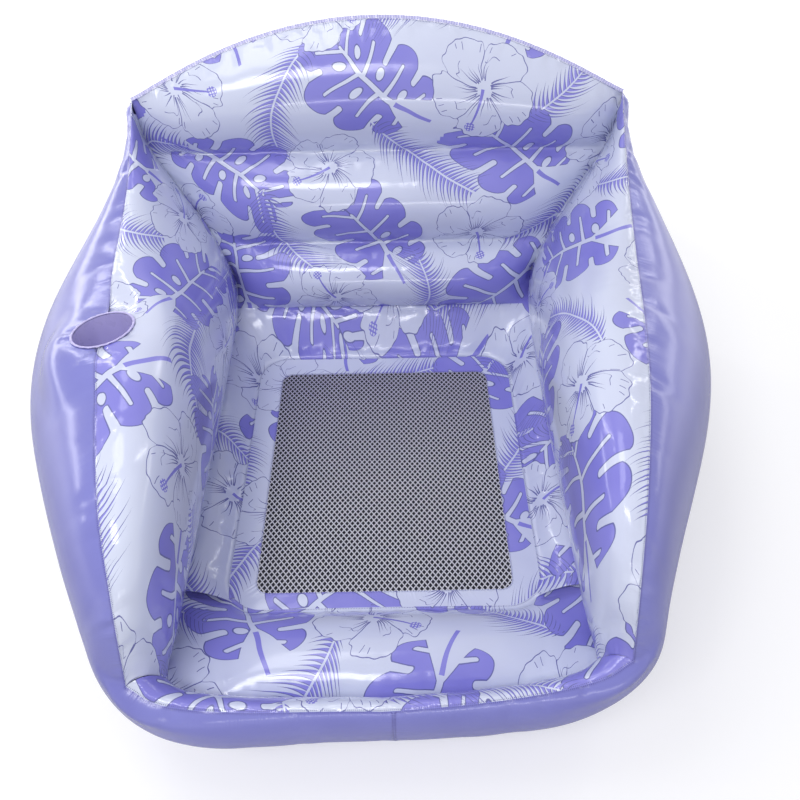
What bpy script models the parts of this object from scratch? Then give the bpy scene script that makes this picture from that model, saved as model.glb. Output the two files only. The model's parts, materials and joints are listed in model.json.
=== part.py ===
"""Inflatable pool chair: welded vinyl skins around a mesh seat, a cup holder and two air valves.

Metres, +Z up. The chair faces -Y and stands on z = 0. Every piece hangs on one empty, placed so
that the chair's box is centred on the world origin.
"""

import math

import bmesh
import bpy
import numpy as np
from mathutils import Matrix, Vector

# Sheet stock and clearances
SKIN = 0.0004
GAP = 0.0003
VALLEY_TRIM = 0.0018
FOLD_TRIM = 0.0008
BAFFLE_TRIM = 0.0012
DIVIDER_TRIM = 0.0060
LAP_WIDTH = 0.006
LAP_END_SHARE = 0.15
CUT_OVERRUN = 0.010
MERGE_DISTANCE = 0.000003

# Reach of the rim seam, where the outer wall meets the printed covers
RIM_HALF_WIDTH = 0.395
HALF_DEPTH = 0.530
BACK_HEIGHT = 0.640
BACK_CORNER_REACH = 0.415
BACK_CORNER_HEIGHT = 0.545
BACK_TOP_REACH = 0.485
ARCH_RISE = 0.132

# How far each skin swells from the line between its two seams
WALL_BULGE = 0.135
COVER_BULGE = 0.108
TUBE_BULGE = 0.046
ROLL_BULGE = 0.045
SEAT_BULGE = 0.012

# Foot of the outer wall, and the underside that stands flat on the ground
FOOT_HEIGHT = 0.036
# From the foot seam in to the frame: how far in, then how high as a share of FOOT_HEIGHT or of the frame
UNDERSIDE_FALL_SHARES = ((0.00, 1.00), (0.05, 0.35))
UNDERSIDE_RISE_SHARES = ((0.16, 0.00), (0.50, 0.00), (0.74, 0.16), (0.90, 0.50), (1.00, 1.00))

# Mesh seat and the welded frame around it
SEAT_HEIGHT = 0.090
SEAT_ALONG = 0.015
MESH_WIDTH = 0.380
MESH_LENGTH = 0.458
MESH_CORNER_RADIUS = 0.018
MESH_THICKNESS = 0.0008
MESH_TUCK = 0.012
FRAME_SIDE = 0.046
FRAME_FRONT = 0.032
FRAME_CORNER_RADIUS = 0.055
NET_PITCH = 0.042
NET_STRAND = 0.006

# Cup holder in the arm at -X
CUP_RADIUS = 0.040
CUP_DEPTH = 0.100
CUP_WALL = 0.0012
CUP_TAPER = 0.003
CUP_LIP = 0.005
CUP_LIP_THICKNESS = 0.0016
CUP_ALONG = -0.027
CUP_TILT = math.radians(8)
CUP_FLAT_RADIUS = 0.074
CUP_BLEND_RADIUS = 0.130
CUP_BLEND_DEPTH = 0.070

# Weld flange along the top of the back
FLANGE_HEIGHT = 0.005
FLANGE_THICKNESS = 0.0008

# Air valves: a welded socket, a stem that pushes in, a check flap and a tethered cap
SOCKET_FLANGE_RADIUS = 0.0140
SOCKET_FLANGE_THICKNESS = 0.0012
SOCKET_BORE = 0.0068
SOCKET_DEPTH = 0.0130
SOCKET_WALL = 0.0012
STEM_CLEARANCE = 0.0004
STEM_LENGTH = 0.0150
STEM_WALL = 0.0020
STEM_COLLAR_RADIUS = 0.0085
STEM_COLLAR_THICKNESS = 0.0014
FLAP_THICKNESS = 0.0006
PLUG_LENGTH = 0.0045
PLUG_TIP_SHARE = 0.72
CAP_RADIUS = 0.0070
CAP_THICKNESS = 0.0016
HINGE_REACH = 0.0125
STRAP_WIDTH = 0.0042
STRAP_THICKNESS = 0.0010

# Grid counts
BACK_COLUMNS = 8
WALL_ROWS = 9
COVER_ROWS = 9
TUBE_ROWS = 4
ROLL_ROWS = 5
RIDGE_ROWS = 3
SEAT_ROWS = 4
CORNER_STEPS = 4
SIDE_STEPS = 8
END_STEPS = 3
DIVIDER_WALL_ROW = 7
UPPER_BAFFLE_WALL_ROW = 3
LOWER_BAFFLE_WALL_ROW = 5
UPPER_VALVE_ROW = 4
LOWER_VALVE_ROW = 7
VALVE_COLUMN = 4
ROUND_STEPS = 24
SMALL_ROUND_STEPS = 16
CURVE_SAMPLES = 400
ROLL_FLANK_SHARES = (0.5, 1.0)
LOOP_COUNT = 4 * CORNER_STEPS + 2 * SIDE_STEPS + 4 * END_STEPS
ROLL_TURN = END_STEPS + CORNER_STEPS // 2
SIDE_COLUMNS = LOOP_COUNT // 2 - 2 * ROLL_TURN
FRONT_COLUMNS = ROLL_TURN + len(ROLL_FLANK_SHARES)
ARM_COLUMNS = ROLL_ROWS + SIDE_COLUMNS + 3 * TUBE_ROWS

# Heights at which the skins lie on the welded frame
UPPER_LAP_HEIGHT = SEAT_HEIGHT + MESH_THICKNESS / 2 + GAP + SKIN + GAP
LOWER_LAP_HEIGHT = SEAT_HEIGHT - MESH_THICKNESS / 2 - GAP - SKIN - GAP - SKIN

# Rim seam: across as a share of RIM_HALF_WIDTH, along of HALF_DEPTH, up of BACK_HEIGHT
FRONT_RIM_SHARES = (
    (0.000, -0.815, 0.305),
    (0.405, -0.806, 0.313),
    (0.646, -0.789, 0.331),
    (0.757, -0.757, 0.355),
)
ARM_RIM_SHARES = (
    (0.757, -0.757, 0.355),
    (0.727, -0.702, 0.547),
    (0.752, -0.551, 0.656),
    (0.828, -0.298, 0.688),
    (0.884, -0.057, 0.695),
    (0.944, 0.226, 0.688),
    (0.977, 0.472, 0.727),
    (0.990, 0.670, 0.805),
    (1.000, 0.783, 0.852),
)
# Inner seam of the ridge and of the arms, whose last stations climb the side of the back
FRONT_SEAM_SHARES = (
    (0.000, -0.751, 0.203),
    (0.354, -0.742, 0.207),
    (0.595, -0.726, 0.216),
    (0.696, -0.702, 0.234),
)
ARM_SEAM_SHARES = (
    (0.696, -0.702, 0.234),
    (0.735, -0.590, 0.195),
    (0.760, -0.420, 0.180),
    (0.762, -0.170, 0.180),
    (0.750, 0.130, 0.188),
    (0.705, 0.653, 0.265),
    (0.749, 0.717, 0.458),
    (0.972, 0.802, 0.698),
    (0.997, 0.787, 0.815),
)
# Stations where the seam behind the front roll, the seat's rear corner and the creases meet the arms' seam
ROLL_SEAM = 2
SEAT_CORNER = 5
LOWER_CREASE = 6
UPPER_CREASE = 7
TOP_CORNER = 8
# Foot seam of the wall: across and along
FRONT_FOOT_SHARES = ((0.000, -0.745), (0.380, -0.736), (0.633, -0.698), (0.760, -0.632))
ARM_FOOT_SHARES = (
    (0.760, -0.632),
    (0.800, -0.570),
    (0.858, -0.440),
    (0.930, -0.240),
    (0.985, -0.010),
    (1.010, 0.226),
    (1.000, 0.453),
    (0.950, 0.660),
    (0.850, 0.774),
)
BACK_FOOT_SHARES = ((0.850, 0.774), (0.660, 0.855), (0.350, 0.905), (0.000, 0.915))
# Swell at the same stations, as shares of WALL_BULGE and COVER_BULGE
FRONT_WALL_SHARES = (0.21, 0.21, 0.23, 0.28)
ARM_WALL_SHARES = (0.28, 0.40, 0.51, 0.72, 0.96, 1.05, 0.81, 0.38, 0.25)
BACK_WALL_SHARES = (0.25, 0.55, 0.72, 0.75)
FRONT_COVER_SHARES = (0.18, 0.18, 0.20, 0.26)
ARM_COVER_SHARES = (0.26, 0.55, 0.80, 0.98, 1.00, 0.88, 0.55, 0.25, 0.10)
# Direction in which the covers swell: across, along, up
FRONT_LEAN_SHARES = ((0.00, 0.30, 0.95), (0.00, 0.30, 0.95), (-0.25, 0.25, 0.92), (-0.50, 0.10, 0.85))
ARM_LEAN_SHARES = (
    (-0.50, 0.10, 0.85),
    (-0.66, 0.10, 0.74),
    (-0.70, 0.00, 0.71),
    (-0.70, 0.00, 0.71),
    (-0.70, -0.05, 0.71),
    (-0.50, -0.57, 0.65),
    (-0.34, -0.82, 0.47),
    (-0.30, -0.88, 0.36),
    (-0.28, -0.90, 0.32),
)
# A swollen section is an ellipse that starts at this share of a quarter turn
FULL_SHARE = 0.12
SHALLOW_SHARE = 0.45
# How squarely a tube or roll ends: its swell falls by this power of the share of its half width
TUBE_SQUARENESS = 6
ROLL_SQUARENESS = 4

# Colour and roughness of each vinyl
MATERIALS = {
    "wall_vinyl": ((0.262, 0.235, 0.610), 0.25),
    "print_vinyl": ((0.680, 0.700, 0.900), 0.25),
    "inner_vinyl": ((0.600, 0.600, 0.700), 0.40),
    "seat_mesh": ((0.500, 0.480, 0.520), 0.60),
    "cup_vinyl": ((0.262, 0.225, 0.560), 0.28),
    "valve_vinyl": ((0.750, 0.750, 0.800), 0.35),
}

REACH = np.array([RIM_HALF_WIDTH, HALF_DEPTH, BACK_HEIGHT])
MIRROR = np.array([-1, 1, 1])


def clear_scene():
    for item in list(bpy.data.objects):
        bpy.data.objects.remove(item, do_unlink=True)


def make_materials():
    for name, (colour, roughness) in MATERIALS.items():
        material = bpy.data.materials.new(name)
        material.use_nodes = True
        shader = material.node_tree.nodes["Principled BSDF"]
        shader.inputs["Base Color"].default_value = (*colour, 1)
        shader.inputs["Roughness"].default_value = roughness
        shader.inputs["Metallic"].default_value = 0


def through(table, places):
    """Catmull-Rom curve through the rows of a table, read at fractional row numbers."""
    rows = np.asarray(table, float).reshape(len(table), -1)
    last = len(rows) - 1
    places = np.clip(np.asarray(places, float), 0, last)
    low = np.minimum(places.astype(int), last - 1)
    t = (places - low)[:, None]
    here, there = rows[low], rows[low + 1]
    before = np.where((low == 0)[:, None], 2 * here - there, rows[np.maximum(low - 1, 0)])
    after = np.where((low == last - 1)[:, None], 2 * there - here, rows[np.minimum(low + 2, last)])
    bend = 2 * before - 5 * here + 4 * there - after
    twist = 3 * here - before - 3 * there + after
    return here + t * ((there - before) + t * (bend + t * twist)) / 2


def lengths_along(points):
    steps = np.linalg.norm(np.diff(points, axis=0), axis=1)
    return np.concatenate([[0], np.cumsum(steps)])


def even_places(table, columns, first=0, last=None):
    """Fractional row numbers that cut a stretch of the curve through a table into equal lengths."""
    last = len(table) - 1 if last is None else last
    fine = np.linspace(first, last, CURVE_SAMPLES)
    travelled = lengths_along(through(table, fine) * REACH)
    return np.interp(np.linspace(0, travelled[-1], columns + 1), travelled, fine)


def widened(half):
    """A half curve that starts in the middle, made whole from -X to +X."""
    return np.concatenate([half[:0:-1] * MIRROR, half])


def ringed(half):
    """The +X half of a loop, from front middle to back middle, closed round through -X."""
    return np.concatenate([half, half[-2:0:-1] * MIRROR])


def both_ways(half):
    """Values of a half curve that starts in the middle, made whole from -X to +X."""
    return np.concatenate([half[:0:-1], half])


def back_arch(columns=BACK_COLUMNS):
    """Top seam of the back, from the corner to the middle: a circular arch that leans back."""
    radius = (RIM_HALF_WIDTH ** 2 + ARCH_RISE ** 2) / (2 * ARCH_RISE)
    angles = np.linspace(math.asin(RIM_HALF_WIDTH / radius), 0, columns + 1)
    lift = 1 - radius * (1 - np.cos(angles)) / ARCH_RISE
    along = BACK_CORNER_REACH + (BACK_TOP_REACH - BACK_CORNER_REACH) * lift
    up = BACK_CORNER_HEIGHT + (BACK_HEIGHT - BACK_CORNER_HEIGHT) * lift
    return np.stack([radius * np.sin(angles), along, up], axis=1)


def foot_points(table, places):
    flat = through(table, places) * REACH[:2]
    return np.column_stack([flat, np.full(len(flat), FOOT_HEIGHT)])


def joined(front, arm, back):
    """Front, arm and back stretches of the +X half, without their shared stations."""
    return np.concatenate([front[:-1], arm[:-1], back])


def section_shares(rows, full):
    """How far along and how far out each row of a swollen section lies."""
    begin = full * math.pi / 2
    angles = np.linspace(begin, math.pi - begin, rows + 1)
    along = (math.cos(begin) - np.cos(angles)) / (2 * math.cos(begin))
    out = (np.sin(angles) - math.sin(begin)) / (1 - math.sin(begin))
    return along, out


def arm_places():
    """Stations of the arm's columns, shared with the roll's rows, the seat's columns and the back's rows."""
    roll = ROLL_SEAM * section_shares(ROLL_ROWS, SHALLOW_SHARE)[0]
    seat = even_places(ARM_SEAM_SHARES, SIDE_COLUMNS, ROLL_SEAM, SEAT_CORNER)
    tube = section_shares(TUBE_ROWS, SHALLOW_SHARE)[0]
    tubes = [place + tube[1:] for place in (SEAT_CORNER, LOWER_CREASE, UPPER_CREASE)]
    return np.concatenate([roll[:-1], seat, *tubes])


def half_wall():
    """Rim seam, foot seam and swell of the +X half of the wall, front middle to back middle."""
    front = even_places(FRONT_RIM_SHARES, FRONT_COLUMNS)
    arm = arm_places()
    back = np.linspace(0, len(BACK_FOOT_SHARES) - 1, BACK_COLUMNS + 1)
    rim = joined(through(FRONT_RIM_SHARES, front) * REACH, through(ARM_RIM_SHARES, arm) * REACH, back_arch())
    foot = joined(foot_points(FRONT_FOOT_SHARES, front), foot_points(ARM_FOOT_SHARES, arm),
                  foot_points(BACK_FOOT_SHARES, back))
    swell = joined(through(FRONT_WALL_SHARES, front), through(ARM_WALL_SHARES, arm),
                   through(BACK_WALL_SHARES, back))
    return rim, foot, swell[:, 0] * WALL_BULGE


def outward(path):
    """Level unit vectors square to a plan path that runs from front middle to back middle."""
    padded = np.concatenate([path[1:2] * MIRROR, path, path[-2:-1] * MIRROR])
    along = padded[2:] - padded[:-2]
    normal = np.stack([along[:, 1], -along[:, 0], np.zeros(len(along))], axis=1)
    return normal / np.linalg.norm(normal, axis=1)[:, None]


def swollen(start, end, swell, lean, rows, full):
    """Rows of points from one seam to the other, each column part of an ellipse pushed along lean."""
    along, out = section_shares(rows, full)
    push = lean / np.linalg.norm(lean, axis=1)[:, None] * np.asarray(swell)[:, None]
    return start + (end - start) * along[:, None, None] + push * out[:, None, None]


def wall_grid():
    """The +X half of the outer wall: rows from rim to foot, columns from front to back."""
    rim, foot, swell = half_wall()
    return swollen(rim, foot, swell, outward((rim + foot) / 2), WALL_ROWS, FULL_SHARE)


def arm_cover_grid():
    places = arm_places()
    rim = through(ARM_RIM_SHARES, places) * REACH
    seam = through(ARM_SEAM_SHARES, places) * REACH
    swell = through(ARM_COVER_SHARES, places)[:, 0] * COVER_BULGE
    return swollen(rim, seam, swell, through(ARM_LEAN_SHARES, places), COVER_ROWS, FULL_SHARE)


def ridge_grid():
    """The narrow printed skin over the front ridge, from -X to +X."""
    places = even_places(FRONT_RIM_SHARES, FRONT_COLUMNS)
    rim = widened(through(FRONT_RIM_SHARES, places) * REACH)
    seam = widened(through(FRONT_SEAM_SHARES, places) * REACH)
    swell = both_ways(through(FRONT_COVER_SHARES, places)[:, 0]) * COVER_BULGE
    lean = widened(through(FRONT_LEAN_SHARES, places))
    return swollen(rim, seam, swell, lean, RIDGE_ROWS, FULL_SHARE)


def crease_line(place, columns):
    """A level crease across the back, between the same place on the two arm seams."""
    end = (through(ARM_SEAM_SHARES, [place]) * REACH)[0]
    return np.stack([end[0] * columns, np.full(len(columns), end[1]), np.full(len(columns), end[2])], axis=1)


def between_arms(start, end, places, columns, lean, bulge, count, squareness):
    """A roll from one line to another whose ends follow the arm seams between two places."""
    pull = np.abs(columns) ** squareness
    rows = swollen(start, end, bulge * (1 - pull), lean, count, SHALLOW_SHARE)
    along, _ = section_shares(count, SHALLOW_SHARE)
    side = through(ARM_SEAM_SHARES, places[0] + (places[1] - places[0]) * along) * REACH
    straight = start[-1] + (end[-1] - start[-1]) * along[:, None]
    shift = (side - straight)[:, None] * pull[None, :, None]
    shift[:, columns < 0] *= MIRROR
    return rows + shift


def tube_rows(upper, lower, places, columns):
    """One tube of the back, between two creases."""
    chord = lower - upper
    lean = np.stack([np.zeros(len(columns)), chord[:, 2], -chord[:, 1]], axis=1)
    return between_arms(upper, lower, places, columns, lean, TUBE_BULGE, TUBE_ROWS, TUBE_SQUARENESS)


def back_grid():
    """Printed front of the back: three tubes, rows from the top seam down to the seat crease."""
    columns = np.linspace(-1, 1, 2 * BACK_COLUMNS + 1)
    places = (TOP_CORNER, UPPER_CREASE, LOWER_CREASE, SEAT_CORNER)
    lines = [widened(back_arch()[::-1])] + [crease_line(place, columns) for place in places[1:]]
    tubes = [tube_rows(lines[n], lines[n + 1], places[n:n + 2], columns) for n in range(3)]
    return np.concatenate([tubes[0], tubes[1][1:], tubes[2][1:]])


def rounded_rectangle(half_width, front, back, radius):
    """Closed plan loop, anticlockwise from the front middle; front and back are places along Y."""
    inner = half_width - radius
    corners = ((inner, front + radius, -90), (inner, back - radius, 0),
               (-inner, back - radius, 90), (-inner, front + radius, 180))
    steps_to_next = (SIDE_STEPS, 2 * END_STEPS, SIDE_STEPS, END_STEPS)
    points = [np.array([inner * step / END_STEPS, front]) for step in range(END_STEPS)]
    for number, (across, along, first) in enumerate(corners):
        for step in range(CORNER_STEPS):
            angle = math.radians(first + 90 * step / CORNER_STEPS)
            points.append(np.array([across + radius * math.cos(angle), along + radius * math.sin(angle)]))
        angle = math.radians(first + 90)
        start = np.array([across + radius * math.cos(angle), along + radius * math.sin(angle)])
        turn = math.radians(corners[(number + 1) % 4][2])
        goal = np.array(corners[(number + 1) % 4][:2])
        goal = goal + radius * np.array([math.cos(turn), math.sin(turn)])
        if number == 3:
            goal = np.array([0, front])
        run = steps_to_next[number]
        points += [start + (goal - start) * step / run for step in range(run)]
    return np.array(points)


def frame_loop(inset=0):
    """Weld line around the mesh frame, drawn in by inset."""
    return rounded_rectangle(MESH_WIDTH / 2 + FRAME_SIDE - inset,
                             SEAT_ALONG - MESH_LENGTH / 2 - FRAME_FRONT + inset,
                             SEAT_ALONG + MESH_LENGTH / 2 + FRAME_SIDE - inset,
                             FRAME_CORNER_RADIUS - inset)


def opening_loop(spread=0):
    """Edge of the mesh opening, grown outwards by spread."""
    return rounded_rectangle(MESH_WIDTH / 2 + spread, SEAT_ALONG - MESH_LENGTH / 2 - spread,
                             SEAT_ALONG + MESH_LENGTH / 2 + spread, MESH_CORNER_RADIUS + spread)


def at_height(loop, height):
    return np.column_stack([loop, np.full(len(loop), height)])


def roll_seam_end():
    return (through(ARM_SEAM_SHARES, [ROLL_SEAM]) * REACH)[0]


def front_roll_grid():
    """The wide roll in front of the mesh: rows from the ridge's valley back to the mesh frame."""
    half_rear = at_height(frame_loop()[:ROLL_TURN + 1], UPPER_LAP_HEIGHT)
    reach = roll_seam_end() - half_rear[-1]
    half_rear = np.concatenate([half_rear, [half_rear[-1] + reach * share for share in ROLL_FLANK_SHARES]])
    places = even_places(FRONT_RIM_SHARES, FRONT_COLUMNS)
    valley = widened(through(FRONT_SEAM_SHARES, places) * REACH)
    across = np.linspace(-1, 1, len(valley))
    lean = np.tile(Vector((0, 0, 1)), (len(across), 1))
    return between_arms(valley, widened(half_rear), (0, ROLL_SEAM), across, lean, ROLL_BULGE,
                        ROLL_ROWS, ROLL_SQUARENESS)


def seat_grid():
    """The U around the mesh frame: side rolls and rear roll, from front +X round the back to front -X."""
    loop = at_height(frame_loop(), UPPER_LAP_HEIGHT)
    inner = loop[ROLL_TURN:LOOP_COUNT - ROLL_TURN + 1]
    side = through(ARM_SEAM_SHARES, arm_places()[ROLL_ROWS:ROLL_ROWS + SIDE_COLUMNS + 1])
    crease = crease_line(SEAT_CORNER, np.linspace(1, 0, ROLL_TURN + 1))
    half_outer = np.concatenate([side[:-1] * REACH, crease])
    outer = np.concatenate([half_outer, half_outer[-2::-1] * MIRROR])
    lean = np.tile(Vector((0, 0, 1)), (len(outer), 1))
    return swollen(outer, inner, np.full(len(outer), SEAT_BULGE), lean, SEAT_ROWS, SHALLOW_SHARE)


def around_frame(outer):
    """Points on the weld line of the frame, spaced around it as the outer loop's points are."""
    loop = np.concatenate([frame_loop(), frame_loop()[:1]])
    around = lengths_along(loop)
    wanted = lengths_along(np.concatenate([outer, outer[:1]]))
    wanted = wanted[:-1] / wanted[-1] * around[-1]
    return np.stack([np.interp(wanted, around, loop[:, axis]) for axis in range(2)], axis=1)


def underside_grid():
    """The sole: from the foot seam down to the flat contact ring and up to the lap under the frame."""
    outer = ringed(half_wall()[1])
    inner = at_height(around_frame(outer), LOWER_LAP_HEIGHT)
    stages = [(along, up * FOOT_HEIGHT) for along, up in UNDERSIDE_FALL_SHARES]
    stages += [(along, up * LOWER_LAP_HEIGHT) for along, up in UNDERSIDE_RISE_SHARES]
    rows = [at_height((outer + (inner - outer) * along)[:, :2], height) for along, height in stages]
    return with_lap(np.array(rows), 0)


def with_lap(grid, free_columns):
    """Adds a level margin past the last row, welded onto the mesh frame; it narrows at the free ends."""
    columns = len(grid[-1])
    to_end = np.minimum(np.arange(columns), np.arange(columns)[::-1])
    width = LAP_WIDTH * np.where(to_end < free_columns, LAP_END_SHARE, 1)
    inward = np.array([0, SEAT_ALONG, 0]) - grid[-1] * (1, 1, 0)
    inward /= np.linalg.norm(inward, axis=1)[:, None]
    return np.concatenate([grid, [grid[-1] + inward * width[:, None]]])


def divider_grid():
    """Ring that parts the upper and lower air chambers, from the outer wall in to the seat's seams."""
    wall = wall_grid()[DIVIDER_WALL_ROW]
    valley = through(FRONT_SEAM_SHARES, even_places(FRONT_RIM_SHARES, FRONT_COLUMNS)) * REACH
    side = through(ARM_SEAM_SHARES, even_places(ARM_SEAM_SHARES, ARM_COLUMNS, 0, SEAT_CORNER)) * REACH
    crease = crease_line(SEAT_CORNER, np.linspace(1, 0, BACK_COLUMNS + 1))
    return np.stack([ringed(wall), ringed(joined(valley, side, crease))])


def baffle_grid(place, wall_row):
    """A strip inside the back, from a crease of the front skin to the rear wall."""
    wall = widened(wall_grid()[wall_row, -BACK_COLUMNS - 1:][::-1])
    columns = np.linspace(-1, 1, 2 * BACK_COLUMNS + 1)
    crease = crease_line(place, columns)
    return np.stack([wall, crease])[:, 1:-1]


def trimmed(grid, top=0, bottom=0, left=0, right=0):
    """The same grid with its outer rows and columns drawn in along the skin."""
    grid = grid.copy()

    def drawn_in(edge, inner, distance):
        step = inner - edge
        return edge + step / np.linalg.norm(step, axis=1)[:, None] * distance

    grid[:, 0] = drawn_in(grid[:, 0], grid[:, 1], left)
    grid[:, -1] = drawn_in(grid[:, -1], grid[:, -2], right)
    grid[0] = drawn_in(grid[0], grid[1], top)
    grid[-1] = drawn_in(grid[-1], grid[-2], bottom)
    return grid


def cup_place():
    """Middle of the cup holder's mouth on the left rim seam, and the way it points."""
    fine = np.linspace(0, len(ARM_RIM_SHARES) - 1, CURVE_SAMPLES)
    rim = through(ARM_RIM_SHARES, fine) * REACH
    place = np.array([np.interp(CUP_ALONG, rim[:, 1], rim[:, axis]) for axis in range(3)])
    axis = np.array([0, math.sin(CUP_TILT), math.cos(CUP_TILT)])
    return place * MIRROR, axis


def eased(share):
    share = np.clip(share, 0, 1)
    return share * share * (3 - 2 * share)


def flattened(grid):
    """The skin pressed level around the cup holder's mouth, as its round weld pulls it."""
    place, axis = cup_place()
    offset = grid - place
    height = offset @ axis
    radius = np.linalg.norm(offset - height[..., None] * axis, axis=-1)
    near = eased((CUP_BLEND_RADIUS - radius) / (CUP_BLEND_RADIUS - CUP_FLAT_RADIUS))
    shallow = eased(2 * (1 - np.abs(height) / CUP_BLEND_DEPTH))
    return grid - (near * shallow * height)[..., None] * axis


class Builder:
    """Keeps the collections and the empty that carries every piece."""

    def __init__(self):
        clear_scene()
        make_materials()
        self.parts = self.collection("inflatable_pool_chair")
        self.cutters = self.collection("cutters")
        self.frame = self.empty("chair_frame", None, Matrix.Identity(4))
        self.frame.location.y = self.centring()

    def collection(self, name):
        made = bpy.data.collections.new(name)
        bpy.context.scene.collection.children.link(made)
        return made

    def centring(self):
        """How far the empty moves so that the wall's front and back are equally far from y = 0."""
        along = wall_grid()[..., 1]
        return -(along.max() + along.min()) / 2

    def empty(self, name, parent, matrix):
        made = bpy.data.objects.new(name, None)
        self.parts.objects.link(made)
        made.parent = parent
        made.matrix_local = matrix
        return made

    def add(self, name, mesh, material, parent=None):
        piece = bpy.data.objects.new(name, mesh)
        self.parts.objects.link(piece)
        piece.parent = parent or self.frame
        mesh.materials.append(bpy.data.materials[material])
        return piece

    def skin(self, name, grid, material, side=1, flip=False, closed=False):
        """A welded sheet: a grid of points with a wall on one side (1 out, -1 in, 0 both)."""
        if closed:
            grid = np.concatenate([grid, grid[:, :1]], axis=1)
        rows, columns = grid.shape[:2]
        shape = bmesh.new()
        bmesh.ops.create_grid(shape, x_segments=columns - 1, y_segments=rows - 1, size=1)
        for vertex in shape.verts:
            column = round((vertex.co.x + 1) / 2 * (columns - 1))
            row = round((vertex.co.y + 1) / 2 * (rows - 1))
            vertex.co = grid[row, column]
        bmesh.ops.remove_doubles(shape, verts=shape.verts, dist=MERGE_DISTANCE)
        if flip:
            bmesh.ops.reverse_faces(shape, faces=shape.faces)
        mesh = bpy.data.meshes.new(name)
        shape.to_mesh(mesh)
        shape.free()
        mesh.shade_smooth()
        piece = self.add(name, mesh, material)
        wall = piece.modifiers.new("sheet", "SOLIDIFY")
        wall.thickness = SKIN
        wall.offset = side
        return piece

    def turned(self, name, profile, material, parent, steps, closed=False):
        """A profile of (radius, height) points, top to bottom on its outer side, turned about Z."""
        mesh = bpy.data.meshes.new(name)
        edges = [(n, n + 1) for n in range(len(profile) - 1)]
        if closed:
            edges.append((len(profile) - 1, 0))
        mesh.from_pydata([(radius, 0, height) for radius, height in profile], edges, [])
        piece = self.add(name, mesh, material, parent)
        turn = piece.modifiers.new("turn", "SCREW")
        turn.steps = steps
        turn.render_steps = steps
        turn.use_merge_vertices = True
        turn.merge_threshold = MERGE_DISTANCE
        turn.use_smooth_shade = True
        return piece

    def box(self, name, low, high, material, parent):
        """A block between two corners."""
        mesh = bpy.data.meshes.new(name)
        shape = bmesh.new()
        bmesh.ops.create_cube(shape, size=1)
        low, high = Vector(low), Vector(high)
        for vertex in shape.verts:
            vertex.co = [(low[n] + high[n]) / 2 + vertex.co[n] * (high[n] - low[n]) for n in range(3)]
        shape.to_mesh(mesh)
        shape.free()
        return self.add(name, mesh, material, parent)

    def as_cutter(self, tool):
        for collection in list(tool.users_collection):
            collection.objects.unlink(tool)
        self.cutters.objects.link(tool)
        tool.hide_render = True
        tool.display_type = "WIRE"

    def cutter(self, name, radius, low, high, parent):
        bpy.ops.mesh.primitive_cylinder_add(vertices=ROUND_STEPS, radius=radius, depth=high - low)
        tool = bpy.context.object
        tool.name = name
        tool.parent = parent
        tool.location = (0, 0, (high + low) / 2)
        self.as_cutter(tool)
        return tool

    def combine(self, piece, tool, operation):
        step = piece.modifiers.new(operation.lower(), "BOOLEAN")
        step.operation = operation
        step.solver = "EXACT"
        step.object = tool


def make_walls(build):
    grid = trimmed(wall_grid(), top=GAP / 2, bottom=GAP / 2, left=GAP / 2, right=GAP / 2)
    right = build.skin("outer_wall_right", grid, "wall_vinyl", flip=True)
    left = build.skin("outer_wall_left", flattened(grid * MIRROR), "wall_vinyl")
    return left, right


def make_covers(build):
    grid = trimmed(arm_cover_grid(), top=GAP / 2, bottom=VALLEY_TRIM, left=FOLD_TRIM, right=VALLEY_TRIM)
    build.skin("arm_cover_right", grid, "print_vinyl")
    left = build.skin("arm_cover_left", flattened(grid * MIRROR), "print_vinyl", flip=True)
    ridge = trimmed(ridge_grid(), top=GAP / 2, bottom=VALLEY_TRIM, left=FOLD_TRIM, right=FOLD_TRIM)
    build.skin("front_ridge_cover", ridge, "print_vinyl")
    back = trimmed(back_grid(), top=GAP / 2, bottom=VALLEY_TRIM, left=VALLEY_TRIM, right=VALLEY_TRIM)
    build.skin("back_cover", back, "print_vinyl", flip=True)
    return left


def make_seat(build):
    roll = trimmed(front_roll_grid(), top=VALLEY_TRIM, left=VALLEY_TRIM, right=VALLEY_TRIM)
    build.skin("front_roll_cover", with_lap(roll, 3), "print_vinyl")
    seat = trimmed(seat_grid(), top=VALLEY_TRIM, left=VALLEY_TRIM, right=VALLEY_TRIM)
    build.skin("seat_surround_cover", with_lap(seat, 2), "print_vinyl")
    build.skin("underside_panel", trimmed(underside_grid(), top=GAP / 2), "wall_vinyl",
               side=-1, flip=True, closed=True)


def make_mesh_frames(build):
    lift = MESH_THICKNESS / 2 + GAP
    upper = np.stack([at_height(loop, SEAT_HEIGHT + lift) for loop in (frame_loop(), opening_loop())])
    lower = np.stack([at_height(loop, SEAT_HEIGHT - lift) for loop in (frame_loop(), opening_loop())])
    build.skin("mesh_frame_upper", upper, "print_vinyl", closed=True)
    build.skin("mesh_frame_lower", lower, "wall_vinyl", flip=True, closed=True)


def make_inner_sheets(build):
    divider = trimmed(divider_grid(), top=BAFFLE_TRIM, bottom=DIVIDER_TRIM)
    build.skin("chamber_divider", divider, "inner_vinyl", side=0, closed=True)
    for name, place, row in (("back_baffle_upper", UPPER_CREASE, UPPER_BAFFLE_WALL_ROW),
                             ("back_baffle_lower", LOWER_CREASE, LOWER_BAFFLE_WALL_ROW)):
        baffle = trimmed(baffle_grid(place, row), top=BAFFLE_TRIM, bottom=BAFFLE_TRIM)
        build.skin(name, baffle, "inner_vinyl", side=0)


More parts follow.
